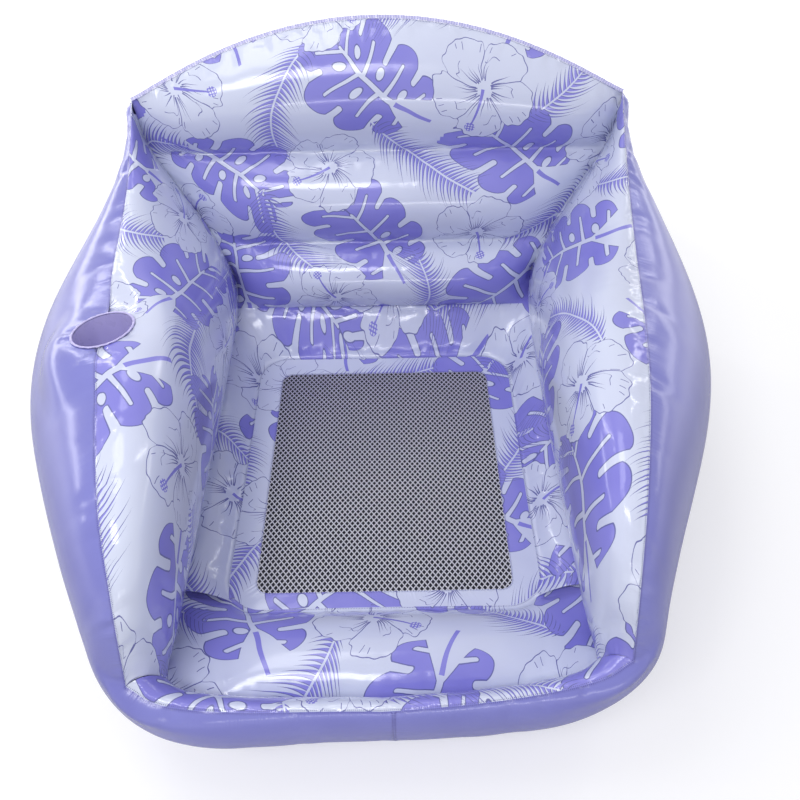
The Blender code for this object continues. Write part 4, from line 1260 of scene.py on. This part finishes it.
frame_line = rounded_rectangle(FRAME_SIDE, FRAME_FRONT, FRAME_CORNER_RADIUS)
opening_line = rounded_rectangle(0, 0, MESH_CORNER_RADIUS)


def at_height(loop, height):
    return np.column_stack([loop, np.full(len(loop), height)])


def resampled(points, count):
    """The same path with count + 1 points evenly spaced along it."""
    travelled = lengths_along(points)
    return interpolated(np.linspace(0, travelled[-1], count + 1), travelled, points)


def with_lap(grid):
    """Adds the level margin that is welded down on the mesh frame."""
    inward = np.array([0, SEAT_ALONG, 0]) - grid[-1] * (1, 1, 0)
    inward /= np.linalg.norm(inward, axis=1)[:, None]
    return np.concatenate([grid, [grid[-1] + inward * LAP_WIDTH / 2], [grid[-1] + inward * LAP_WIDTH]])


def loop_split():
    """The frame's weld line, cut where the front roll leaves it: its front stretch and the rest."""
    half = frame_line[:len(frame_line) // 2 + 1]
    centre = np.array([MESH_WIDTH / 2 + FRAME_SIDE - FRAME_CORNER_RADIUS,
                       SEAT_ALONG - MESH_LENGTH / 2 - FRAME_FRONT + FRAME_CORNER_RADIUS])
    turn = np.degrees(np.arctan2(half[:, 1] - centre[1], half[:, 0] - centre[0]))
    corner = int(np.argmin(np.abs(turn + 45) + 1000 * (half[:, 1] > centre[1])))
    return half[:corner + 1], half[corner:]


UPWARD = np.array([0.0, 0.0, 1.0])
ROLL_ROWS = 50
ROLL_FRONT_PUCKERS = (0.030, 0.0020, 0.030)
ROLL_REAR_PUCKERS = (0.030, 0.0018, 0.025)
ROLL_END_PUCKERS = (0.022, 0.0030, 0.045)


def lapped_skin(name, grid, flat_across, seed, dents):
    """A printed roll that ends in a lap on the mesh frame, held along both edges of the lap."""
    rows = len(grid) - 1
    grid = with_lap(grid)
    dents = np.concatenate([dents, np.zeros((2, dents.shape[1]))])
    down = distances_down(grid)
    flat = paired(grid[:, :, 0], down) if flat_across else grid[:, :, :2]
    weld = paired(distances_across(grid, -1), down[-1] - down)
    printed_skin(name, grid, flat, weld, seed, dents, held_rows=(rows, rows + 1))


def make_front_roll():
    front, _ = loop_split()
    seam_end = (through(ARM_SEAM_SHARES, [ROLL_SEAM_STATION]) * REACH)[0]
    half_rear = np.concatenate([at_height(front, LAP_HEIGHT), [seam_end]])
    places = even_places(FRONT_RIM_SHARES, COVER_STEP)
    valley = widened(through(FRONT_SEAM_SHARES, places) * REACH)
    rear = widened(resampled(half_rear, len(places) - 1))
    across = np.linspace(-1, 1, len(valley))
    grid = between_arms(valley, rear, (0, ROLL_SEAM_STATION), across, np.tile(UPWARD, (len(across), 1)),
                        ROLL_BULGE, ROLL_ROWS, ROLL_SQUARENESS)
    along, down = distances_across(grid, ROLL_ROWS // 2), distances_down(grid)
    up = down[-1] - down
    side = np.minimum(along, along[:, -1:] - along)
    dents = puckers(along, down, *ROLL_FRONT_PUCKERS, 141) + puckers(along, up, *ROLL_REAR_PUCKERS, 142)
    dents += puckers(down, side, *ROLL_END_PUCKERS, 143)
    lapped_skin("front_roll_cover", grid, True, 144, calmed(dents, 0.008, down, up, side))


make_front_roll()


SURROUND_HALF_COLUMNS = 190
SURROUND_ROWS = 16
SURROUND_PUCKERS = (0.030, 0.0014, 0.020)


def make_seat_surround():
    _, rest = loop_split()
    side = through(ARM_SEAM_SHARES, np.linspace(ROLL_SEAM_STATION, SEAT_CORNER, 120)) * REACH
    crease = crease_line(SEAT_CORNER, np.linspace(1, 0, 80))
    breaks = lengths_along(rest)
    outer_half = np.concatenate([side[:-1], crease])
    corner_share = lengths_along(outer_half)[len(side) - 1] / lengths_along(outer_half)[-1]
    turn_share = breaks[np.argmin(np.abs(rest[:, 1] - rest[:, 0] - (rest[-1, 1] - rest[0, 0])))] / breaks[-1]
    outer = resampled(outer_half, SURROUND_HALF_COLUMNS)
    even = np.linspace(0, 1, SURROUND_HALF_COLUMNS + 1)
    inner = interpolated(np.interp(even, [0, corner_share, 1], [0, turn_share, 1]) * breaks[-1], breaks, rest)
    outer = carried_round(outer)
    inner = at_height(carried_round(inner), LAP_HEIGHT)
    grid = swollen(outer, inner, np.full(len(outer), SEAT_BULGE), np.tile(UPWARD, (len(outer), 1)),
                   SURROUND_ROWS, SHALLOW_SHARE)
    along, down = distances_across(grid, SURROUND_ROWS), distances_down(grid)
    up = down[-1] - down
    dents = puckers(along, down, *SURROUND_PUCKERS, 151) + puckers(along, up, *SURROUND_PUCKERS, 152)
    lapped_skin("seat_surround_cover", grid, False, 154, calmed(dents, 0.006, down, up))


make_seat_surround()


FRAME_COLUMNS = 340
FRAME_ROWS = 10
FRAME_RIPPLES = 37
FRAME_RIPPLE = 0.00025


def make_mesh_frame():
    outer, inner = (resampled(at_height(line, SEAT_HEIGHT + FRAME_SLACK), FRAME_COLUMNS)
                    for line in (frame_line, opening_line))
    grid = outer + (inner - outer) * np.linspace(0, 1, FRAME_ROWS + 1)[:, None, None]
    ripple = np.sin(np.linspace(0, 2 * math.pi * FRAME_RIPPLES, FRAME_COLUMNS + 1)) * FRAME_RIPPLE
    dents = ripple[None, :] * np.sin(np.linspace(0, math.pi, FRAME_ROWS + 1))[:, None]
    down = distances_down(grid)
    weld = paired(distances_across(grid, FRAME_ROWS), down[-1] - down)
    printed_skin("mesh_frame_upper", grid, grid[:, :, :2], weld, 154, dents, closed=True)


make_mesh_frame()

# Net seat
# A knitted net of pale yarn, open between its strands, stretched in the frame so that water drains through.
# A dark sheet is laid under it as painted shadow, so that its holes look nearly black.
NET_PITCH = 0.0060
NET_STRETCH = 1.33
NET_STRAND = 0.00165
NET_THICKNESS = 0.0006
NET_COLOUR = painted(236, 236, 240)
NET_SHADE = painted(212, 211, 220)
# The colour of the painted shade laid on the net towards its rear
NET_PAINTED_SHADE = painted(168, 166, 198)
# Painted shade on the net towards its rear, where the back would shade it: its share, its slant across and
# the lengths it spans
PAINTED_SHADE_SHARE = 0.9
PAINTED_SHADE_SLANT = 0.3
PAINTED_SHADE_SPAN = (-0.10, 0.26)
NET_TUCK = MESH_TUCK * 0.8
NET_SAG = 0.0015
# Painted shadow: the near-black tones of the sheet under the net, in place of the shade below the seat
UNDERLAY_PAINTED_SHADOW = painted(30, 30, 42)
UNDERLAY_PAINTED_SHADOW_DEEP = painted(16, 16, 26)
BACKING_TUCK = MESH_TUCK * 0.7
BACKING_DROP = 0.0007


def net_yarn():
    finish = Finish("net_yarn", 0.32)
    finish.shader.inputs["Sheen Weight"].default_value = 0.2
    twist = finish.node("TexWave", Vector=finish.spot(), Scale=420.0, Distortion=1.5)
    strand = Field(finish.tree, twist.outputs["Fac"])
    across, along = finish.parts(finish.spot())
    # Painted shade: the yarn is darkened towards the rear of the seat, standing in for the back's shadow
    rear = (along - across * PAINTED_SHADE_SLANT).between(*PAINTED_SHADE_SPAN)
    colour = finish.mix(strand, NET_SHADE, NET_COLOUR)
    finish.colour(finish.mix(rear * PAINTED_SHADE_SHARE, colour, NET_PAINTED_SHADE))
    finish.raised((finish.noise(900.0) * 0.5) + strand, 0.0003)
    return finish.material


# Painted shadow under the net: a dark sheet that stands in for the shade beneath the seat
def painted_shadow_underlay():
    finish = Finish("painted_shadow_underlay", 0.8)
    shadow_checker = finish.node("TexChecker", Vector=finish.spot(), Scale=900.0)
    finish.colour(finish.mix(Field(finish.tree, shadow_checker.outputs["Fac"]) * 0.5, UNDERLAY_PAINTED_SHADOW, UNDERLAY_PAINTED_SHADOW_DEEP))
    finish.raised(finish.noise(1200.0), 0.0002)
    return finish.material


def make_net():
    """A sheet of small squares set cornerwise and drawn out lengthwise, each drawn in to leave a hole."""
    half = np.array([MESH_WIDTH, MESH_LENGTH]) / 2 + NET_TUCK
    cells = 2 * math.ceil((half[0] + half[1] / NET_STRETCH) / math.sqrt(2) / NET_PITCH)
    shape = bmesh.new()
    bmesh.ops.create_grid(shape, x_segments=cells, y_segments=cells, size=cells * NET_PITCH / 2)
    cornerwise = Matrix.Rotation(math.radians(45), 3, "Z")
    bmesh.ops.rotate(shape, verts=shape.verts, cent=(0, 0, 0), matrix=cornerwise)
    bmesh.ops.scale(shape, verts=shape.verts, vec=(1, NET_STRETCH, 1))
    margin = NET_PITCH * NET_STRETCH
    loose = [face for face in shape.faces
             if any(abs(face.calc_center_median()[axis]) > half[axis] + margin for axis in range(2))]
    bmesh.ops.delete(shape, geom=loose, context="FACES")
    made = bmesh.ops.inset_individual(shape, faces=shape.faces, thickness=NET_STRAND / 2,
                                      use_even_offset=True)
    rings = set(made["faces"])
    bmesh.ops.delete(shape, geom=[face for face in shape.faces if face not in rings], context="FACES")
    for axis in range(2):
        for sign in (-1, 1):
            edge = Vector((0, 0, 0))
            edge[axis] = sign * half[axis]
            everything = shape.verts[:] + shape.edges[:] + shape.faces[:]
            bmesh.ops.bisect_plane(shape, geom=everything, plane_co=edge, plane_no=edge.normalized(),
                                   clear_outer=True, dist=MERGE)
    for vertex in shape.verts:
        sag = (1 - (vertex.co.x / half[0]) ** 2) * (1 - (vertex.co.y / half[1]) ** 2)
        vertex.co.z = SEAT_HEIGHT + NET_THICKNESS / 2 - NET_SAG * max(sag, 0)
        vertex.co.y += SEAT_ALONG + SHIFT[1]
    mesh = into_mesh(shape, bpy.data.meshes.new("mesh_panel"))
    net = fitted("mesh_panel", mesh, net_yarn(), thickness=NET_THICKNESS)
    cell_height = NET_PITCH * NET_STRETCH / math.sqrt((1 + NET_STRETCH ** 2) / 2)
    cover = 1 - (1 - NET_STRAND / cell_height) ** 2
    cover * 4 * half.prod()


# The dark sheet under the net is painted shadow, not a part of the chair
def make_painted_shadow_underlay():
    half = np.array([MESH_WIDTH, MESH_LENGTH]) / 2 + BACKING_TUCK
    shape = bmesh.new()
    bmesh.ops.create_grid(shape, x_segments=24, y_segments=28, size=1)
    for vertex in shape.verts:
        sag = (1 - vertex.co.x ** 2) * (1 - vertex.co.y ** 2)
        vertex.co.x *= half[0]
        vertex.co.y = vertex.co.y * half[1] + SEAT_ALONG + SHIFT[1]
        vertex.co.z = SEAT_HEIGHT - BACKING_DROP - NET_SAG * sag
    mesh = into_mesh(shape, bpy.data.meshes.new("mesh_painted_shadow_underlay"))
    backing = fitted("mesh_painted_shadow_underlay", mesh, painted_shadow_underlay(), stands_for="mesh_panel",
                     thickness=FILM / 2)


make_net()
make_painted_shadow_underlay()

# Weld flange
# The margin of both films left standing along the top of the back, crimped flat by the welding bar.
# Its edge is knurled, and beads of squeezed vinyl catch the light along it.
FLANGE_HEIGHT = 0.005
FLANGE_THICKNESS = 0.0008
FLANGE_COLUMNS = 300
FLANGE_ROWS = 5
# The standing edge sways by this much, in waves of these lengths and shares
FLANGE_SWAY = 0.0005
FLANGE_WAVES = ((0.034, 0.6), (0.013, 1.0))
BEAD_PITCH = 0.0042
FLANGE_COLOUR = painted(206, 204, 238)


def flange_vinyl():
    finish = Finish("flange_vinyl", 0.2)
    along, _ = finish.parts(finish.map("weld"))
    bead = ((along / BEAD_PITCH).math("FRACT") - 0.5).size()
    finish.colour(finish.mix(bead * 1.2, FLANGE_COLOUR, WALL_PALE))
    finish.raised((bead * 0.6) + (finish.noise(700.0) * 0.3), 0.0005)
    return finish.material


def make_flange():
    arch = widened(back_arch(FLANGE_COLUMNS)[::-1])
    lean = np.array([0, BACK_TOP_REACH - BACK_CORNER[0], BACK_HEIGHT - BACK_CORNER[1]])
    tangent = np.gradient(arch, axis=0)
    up = np.cross(np.cross(tangent, lean), tangent)
    up /= np.linalg.norm(up, axis=1)[:, None]
    across = np.cross(tangent, up)
    across /= np.linalg.norm(across, axis=1)[:, None]
    travelled = lengths_along(arch)
    rows = np.linspace(0, 1, FLANGE_ROWS + 1)
    wave = sum(np.sin(travelled * 2 * math.pi / length) * share for length, share in FLANGE_WAVES)
    grid = arch + up * (FILM + rows[:, None, None] * FLANGE_HEIGHT)
    grid = grid + across * (wave * rows[:, None] * FLANGE_SWAY)[..., None]
    mesh, place = skin_mesh("back_weld_flange", grid + SHIFT, 1)
    weld = paired(travelled, rows[:, None] * FLANGE_HEIGHT)
    corner_values(mesh, "weld", weld.reshape(-1, 2)[place])
    fitted("back_weld_flange", mesh, flange_vinyl(), thickness=FLANGE_THICKNESS)


make_flange()

# Cup holder
# A soft sleeve of mauve vinyl hung in the arm, closed below by a welded disc. A flat ring is welded over its
# mouth, and the film flutes a little between its two welds.
CUP_DEPTH = 0.100
CUP_TAPER = 0.003
CUP_WALL = 0.0008
CUP_LIP = 0.0026
CUP_LIP_THICKNESS = 0.0014
CUP_STEPS = 96
CUP_COLOUR = painted(187, 180, 228)
CUP_SHADE = painted(180, 173, 222)
# Waves round the sleeve and the lip: how many, how strong and, for the sleeve, where they start
FLUTE_DEPTH = 0.018
SLEEVE_FLUTES = ((7, 0.6, 0.0), (12, 0.4, 1.3))
LIP_RIPPLES = ((23, 0.0005), (41, 0.0003))


def plain_vinyl(name, colours, mottle, gloss, grain):
    """Vinyl with no print or weld marks.

    Mottle is a noise scale and its two limits, gloss a noise scale, a span and the least roughness, and
    grain a noise scale and its depth.
    """
    finish = Finish(name, gloss[2])
    finish.colour(finish.mix(finish.noise(mottle[0]).between(*mottle[1:]), *colours))
    finish.roughness(finish.noise(gloss[0]) * gloss[1] + gloss[2])
    finish.raised(finish.noise(grain[0]), grain[1])
    return finish.material


cup_material = plain_vinyl("cup_vinyl", (CUP_COLOUR, CUP_SHADE), (14, 0.3, 0.7), (70, 0.12, 0.22),
                           (420, 0.0001))
cup_centre, cup_axis = cup_place()
CUP_TURN = Vector((0, 0, 1)).rotation_difference(Vector(cup_axis)).to_matrix().to_4x4()
CUP_MATRIX = Matrix.Translation(Vector(settled(cup_centre))) @ CUP_TURN


def turned_piece(name, profile, closed=True, shaped=None):
    """A profile of (radius, height) points turned about the cup's axis, smooth but for its sharp edges."""
    shape = bmesh.new()
    corners = [shape.verts.new((radius, 0, height)) for radius, height in profile]
    edges = [shape.edges.new(pair) for pair in zip(corners, corners[1:])]
    if closed:
        edges.append(shape.edges.new((corners[-1], corners[0])))
    bmesh.ops.spin(shape, geom=corners + edges, cent=(0, 0, 0), axis=(0, 0, 1), dvec=(0, 0, 0),
                   angle=2 * math.pi, steps=CUP_STEPS, use_merge=True, use_duplicate=False)
    bmesh.ops.remove_doubles(shape, verts=shape.verts, dist=MERGE)
    bmesh.ops.recalc_face_normals(shape, faces=shape.faces)
    if shaped:
        shaped(shape)
    shape.transform(CUP_MATRIX)
    mesh = into_mesh(shape, bpy.data.meshes.new(name))
    mesh.shade_smooth()
    mesh.set_sharp_from_angle(angle=math.radians(35))
    fitted(name, mesh, cup_material, thickness=0)


def fluted(shape):
    """Presses shallow upright flutes into the sleeve, deepest halfway down."""
    for vertex in shape.verts:
        depth = -vertex.co.z / CUP_DEPTH
        angle = math.atan2(vertex.co.y, vertex.co.x)
        wave = sum(math.sin(count * angle + start) * share for count, share, start in SLEEVE_FLUTES)
        factor = 1 - FLUTE_DEPTH * (1 + wave) * math.sin(math.pi * min(max(depth, 0), 1))
        vertex.co.x *= factor
        vertex.co.y *= factor


def scalloped(shape):
    """Ripples the lip's outer edge, where the weld gathers the film."""
    for vertex in shape.verts:
        radius = math.hypot(vertex.co.x, vertex.co.y)
        angle = math.atan2(vertex.co.y, vertex.co.x)
        share = max(0, (radius - CUP_RADIUS) / CUP_LIP)
        vertex.co.z += share * sum(height * math.sin(count * angle) for count, height in LIP_RIPPLES)


def make_cup_holder():
    inner, tip = CUP_RADIUS - CUP_WALL, CUP_RADIUS - CUP_TAPER
    shares = np.linspace(0, 1, 24)
    outside = [(CUP_RADIUS - CUP_TAPER * share, -CUP_DEPTH * share) for share in shares]
    inside = [(inner - CUP_TAPER * share, -CUP_DEPTH * share) for share in shares[::-1]]
    turned_piece("cup_holder_sleeve", outside + inside, shaped=fluted)
    floor = -CUP_DEPTH - FILM
    rings = [(tip * share, floor + 0.0008 * math.cos(share * math.pi)) for share in np.linspace(0, 1, 9)]
    rings += [(radius, height - CUP_WALL) for radius, height in rings[::-1]]
    turned_piece("cup_holder_base", rings, closed=False)
    low = FILM * 2
    ring_angles = np.linspace(0, math.pi, 7)
    outer = CUP_RADIUS + CUP_LIP - CUP_LIP_THICKNESS / 2
    middle = low + CUP_LIP_THICKNESS / 2
    half = CUP_LIP_THICKNESS / 2
    lip = [(outer + half * math.sin(angle), middle + half * math.cos(angle)) for angle in ring_angles]
    lip += [(CUP_RADIUS - half * math.sin(angle), middle - half * math.cos(angle)) for angle in ring_angles]
    turned_piece("cup_holder_lip", lip, shaped=scalloped)


make_cup_holder()

# Sole
# The violet film underneath, from the foot seam in to the frame, flat where it stands on the ground.
# It is welded to the wall's foot and lapped under the mesh frame.
SOLE_FALL_SHARES = ((0.00, 1.00), (0.05, 0.35))
SOLE_RISE_SHARES = ((0.16, 0.00), (0.50, 0.00), (0.74, 0.16), (0.90, 0.50), (1.00, 1.00))
SOLE_LAP_HEIGHT = SEAT_HEIGHT - MESH_THICKNESS / 2 - 0.0015


def make_sole():
    outer = carried_round(half_wall(1)[-1])
    around = lengths_along(frame_line)
    wanted = lengths_along(outer)
    wanted = wanted / wanted[-1] * around[-1]
    inner = at_height(interpolated(wanted, around, frame_line), SOLE_LAP_HEIGHT)
    stages = [(along, up * FOOT_HEIGHT) for along, up in SOLE_FALL_SHARES]
    stages += [(along, up * SOLE_LAP_HEIGHT) for along, up in SOLE_RISE_SHARES]
    fine = through(stages, np.linspace(0, len(stages) - 1, 31))
    rows = [at_height((outer + (inner - outer) * along)[:, :2], max(height, 0)) for along, height in fine]
    grid = with_lap(np.array(rows))
    along, down = distances_across(grid, 0), distances_down(grid)
    mesh, place = skin_mesh("underside_panel", settled(grid), -1)
    corner_values(mesh, "weld", paired(along, down).reshape(-1, 2)[place])
    closed_up(mesh)
    fitted("underside_panel", mesh, wall_material)


make_sole()

# Inner sheets and lower frame
# Clear film inside parts the two air chambers and ties the back's creases to its rear wall.
# The lower frame is the violet mate of the printed one, under the net.
INNER_COLOUR = painted(196, 196, 214)
INNER_SHADE = painted(176, 176, 200)
INNER_TRIM = 0.013
INNER_WAVE = 0.0006
INNER_ROWS = 24
DIVIDER_COLUMNS = 600
BAFFLE_COLUMNS = 160
BAFFLE_INSET = 6
# Where each sheet meets the wall, as a share of the way from rim to foot
DIVIDER_SHARE = 7 / 9
BAFFLE_SHARES = {"back_baffle_upper": (UPPER_CREASE, 3 / 9), "back_baffle_lower": (LOWER_CREASE, 5 / 9)}


inner_material = plain_vinyl("inner_vinyl", (INNER_COLOUR, INNER_SHADE), (20, 0, 1), (30, 0.2, 0.3),
                             (300, 0.0002))
# The wall's vinyl for the carried-over lower frame, which has no weld map
plain_wall_material = plain_vinyl("plain_wall_vinyl", (WALL_COLOUR, WALL_PALE), (9, 0.35, 0.75),
                                  (55, 0.10, 0.15), (420, 0.0001))


def wall_line(share):
    """The line on both walls where an inner sheet is welded, from the front middle round by +X."""
    right, left = (half_wall(side) for side in (1, -1))
    row = round(share * (len(right) - 1))
    return np.concatenate([right[row], left[row, -2::-1] * MIRROR])


def make_inner_sheet(name, outer, inner):
    """A film from one line to another, kept a little short of both so that it stays inside the chair."""
    lift = np.linspace(0, 1, INNER_ROWS + 1)[:, None, None]
    span = inner - outer
    short = span / np.linalg.norm(span, axis=1)[:, None] * INNER_TRIM
    grid = outer + short + (span - 2 * short) * lift
    grid[..., 2] += np.sin(lift[..., 0] * math.pi * 3) * INNER_WAVE
    mesh, _ = skin_mesh(name, settled(grid), 1)
    return fitted(name, mesh, inner_material)


def make_inner_sheets():
    wall = wall_line(DIVIDER_SHARE)
    places = even_places(FRONT_RIM_SHARES, COVER_STEP)
    valley = through(FRONT_SEAM_SHARES, places) * REACH
    side = through(ARM_SEAM_SHARES, even_places(ARM_SEAM_SHARES, COVER_STEP, 0, SEAT_CORNER)) * REACH
    half = np.concatenate([valley[:-1], side[:-1], crease_line(SEAT_CORNER, np.linspace(1, 0, 80))])
    seams = carried_round(half)
    turns = np.linspace(0, 1, DIVIDER_COLUMNS)
    wall, seams = (interpolated(turns, ring_shares(ring), ring) for ring in (wall, seams))
    closed_up(make_inner_sheet("chamber_divider", wall, seams).data)
    for name, (station, share) in BAFFLE_SHARES.items():
        rear = wall_line(share)
        rear = resampled(rear[rear[:, 1] > BACK_CORNER[0] - 0.02], BAFFLE_COLUMNS)
        crease = crease_line(station, np.linspace(1, -1, BAFFLE_COLUMNS + 1))
        make_inner_sheet(name, rear[BAFFLE_INSET:-BAFFLE_INSET], crease[BAFFLE_INSET:-BAFFLE_INSET])


def ring_shares(ring):
    """How far round the chair each point of a ring lies, by its bearing from the middle of the seat."""
    bearing = np.arctan2(ring[:, 0], SEAT_ALONG - ring[:, 1])
    return np.unwrap(bearing) / (2 * math.pi)


make_inner_sheets()
frame["nodes"]["mesh_frame_lower"].data.materials.clear()
frame["nodes"]["mesh_frame_lower"].data.materials.append(plain_wall_material)

# Air valves
# Milky moulded vinyl: a socket welded in the wall, a stem that pushes in, a flap, a cap and its strap.
# One fills the upper chamber from high on the rear wall and one the lower chamber from low on it.
VALVE_COLOUR = painted(222, 220, 236)
VALVE_SHADE = painted(206, 204, 226)
VALVE_ROUNDING = 0.0004
valve_material = plain_vinyl("valve_vinyl", (VALVE_COLOUR, VALVE_SHADE), (60, 0, 1), (200, 0.15, 0.26),
                             (900, 0.0001))


def make_valve_part(name):
    """The moulding with its edges rounded, made from the solid that it stands for."""
    node = frame["nodes"][name]
    mesh = node.data.copy()
    mesh.materials.clear()
    shape = bmesh.new()
    shape.from_mesh(mesh)
    bmesh.ops.remove_doubles(shape, verts=shape.verts, dist=MERGE)
    into_mesh(shape, mesh).shade_smooth()
    piece = fitted(name, mesh, valve_material, body=node["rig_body"], thickness=0)
    rounding = piece.modifiers.new("rounding", "BEVEL")
    rounding.width = VALVE_ROUNDING
    rounding.segments = 2
    rounding.angle_limit = math.radians(40)
    rounding.harden_normals = True


for which in ("upper", "lower"):
    for part in ("socket", "stem", "cap", "flap", "strap"):
        make_valve_part(f"{which}_valve_{part}")

# Studio
# A plain pale floor and a white surround under soft lamps. The camera stands where the picture was taken
# from.
CAMERA_PLACE = (0.027, -0.860, 1.107)
CAMERA_DOWN = math.radians(46.5)
CAMERA_YAW = math.radians(0.06)
CAMERA_ROLL = math.radians(-1.0)
IMAGE_SIDE = 800
FOCAL_PIXELS = 770
FLOOR_SIZE = 12.0
FLOOR_DROP = 0.0005
# Each lamp: place, size, power, and the point that it faces
LAMPS = (
    ((-0.6, 0.2, 2.4), (1.4, 0.8), 12, (0, 0, 0.3)),
    ((-0.5, -1.3, 2.1), (1.1, 0.5), 18.5, (0, 0, 0.3)),
    ((-1.45, 1.2, 1.5), (0.06, 1.2), 4, (-0.3, 0, 0.3)),
    ((1.45, 1.0, 1.5), (0.06, 1.2), 3, (0.3, 0, 0.3)),
    ((-1.9, 0.9, 0.60), (2.2, 0.24), 8, (-0.4, 0, 0.3)),
    ((1.9, 0.9, 0.60), (2.2, 0.24), 4, (0.4, 0, 0.3)),
    ((0.3, -2.0, 0.45), (1.3, 0.04), 4, (0, 0, 0.2)),
)
WORLD_STRENGTH = 0.5
RAYS_THAT_SEE = ("Camera", "Glossy", "Transmission")
FLOOR_SHADE_RADIUS = 1.0
FLOOR_WHITE_RADIUS = 2.2
FLOOR_GLOW = 0.42
FLOOR_COLOUR = (0.62, 0.62, 0.64, 1)


def make_camera():
    data = bpy.data.cameras.new("camera")
    data.sensor_width = 36
    data.lens = FOCAL_PIXELS / IMAGE_SIDE * data.sensor_width
    camera = linked("camera", data)
    turn = Matrix.Rotation(-CAMERA_YAW, 4, "Z") @ Matrix.Rotation(math.pi / 2 - CAMERA_DOWN, 4, "X")
    camera.matrix_world = Matrix.Translation(CAMERA_PLACE) @ turn @ Matrix.Rotation(CAMERA_ROLL, 4, "Z")
    bpy.context.scene.camera = camera


def make_floor():
    shape = bmesh.new()
    bmesh.ops.create_grid(shape, x_segments=1, y_segments=1, size=FLOOR_SIZE / 2)
    mesh = into_mesh(shape, bpy.data.meshes.new("floor"))
    floor = linked("floor", mesh)
    floor.location.z = -FLOOR_DROP
    material = bpy.data.materials.new("floor")
    material.use_nodes = True
    tree = material.node_tree
    shader = tree.nodes["Principled BSDF"]
    shader.inputs["Base Color"].default_value = FLOOR_COLOUR
    shader.inputs["Roughness"].default_value = 0.9
    shader.inputs["Specular IOR Level"].default_value = 0
    place = tree.nodes.new("ShaderNodeSeparateXYZ")
    tree.links.new(tree.nodes.new("ShaderNodeTexCoord").outputs["Object"], place.inputs[0])
    distance = length_of(Field(tree, place.outputs[0]), Field(tree, place.outputs[1]))
    path = tree.nodes.new("ShaderNodeLightPath")
    camera, glossy, passed = (Field(tree, path.outputs[f"Is {kind} Ray"]) for kind in RAYS_THAT_SEE)
    mirrored = glossy.most(passed)
    far = distance.between(FLOOR_SHADE_RADIUS, FLOOR_WHITE_RADIUS)
    glow = (far * mirrored).most(((far * (1 - FLOOR_GLOW)) + FLOOR_GLOW) * camera)
    tree.links.new(glow.socket, shader.inputs["Emission Strength"])
    shader.inputs["Emission Color"].default_value = (1, 1, 1, 1)
    mesh.materials.append(material)


def make_world():
    world = bpy.data.worlds.new("studio")
    bpy.context.scene.world = world
    world.use_nodes = True
    tree = world.node_tree
    shader = tree.nodes["Background"]
    shader.inputs["Color"].default_value = (1, 1, 1, 1)
    path = tree.nodes.new("ShaderNodeLightPath")
    camera, glossy, passed = (Field(tree, path.outputs[f"Is {kind} Ray"]) for kind in RAYS_THAT_SEE)
    strength = (camera.most(glossy).most(passed) * (1 - WORLD_STRENGTH)) + WORLD_STRENGTH
    tree.links.new(strength.socket, shader.inputs["Strength"])


def make_lamps():
    for number, (place, size, power, target) in enumerate(LAMPS):
        data = bpy.data.lights.new(f"lamp_{number}", "AREA")
        data.shape = "RECTANGLE"
        data.size, data.size_y = size
        data.energy = power
        lamp = linked(f"lamp_{number}", data)
        lamp.location = place
        direction = Vector(target) - Vector(place)
        lamp.rotation_euler = direction.to_track_quat("-Z", "Y").to_euler()


make_camera()
make_floor()
make_world()
make_lamps()
bpy.context.scene.view_settings.view_transform = "Standard"
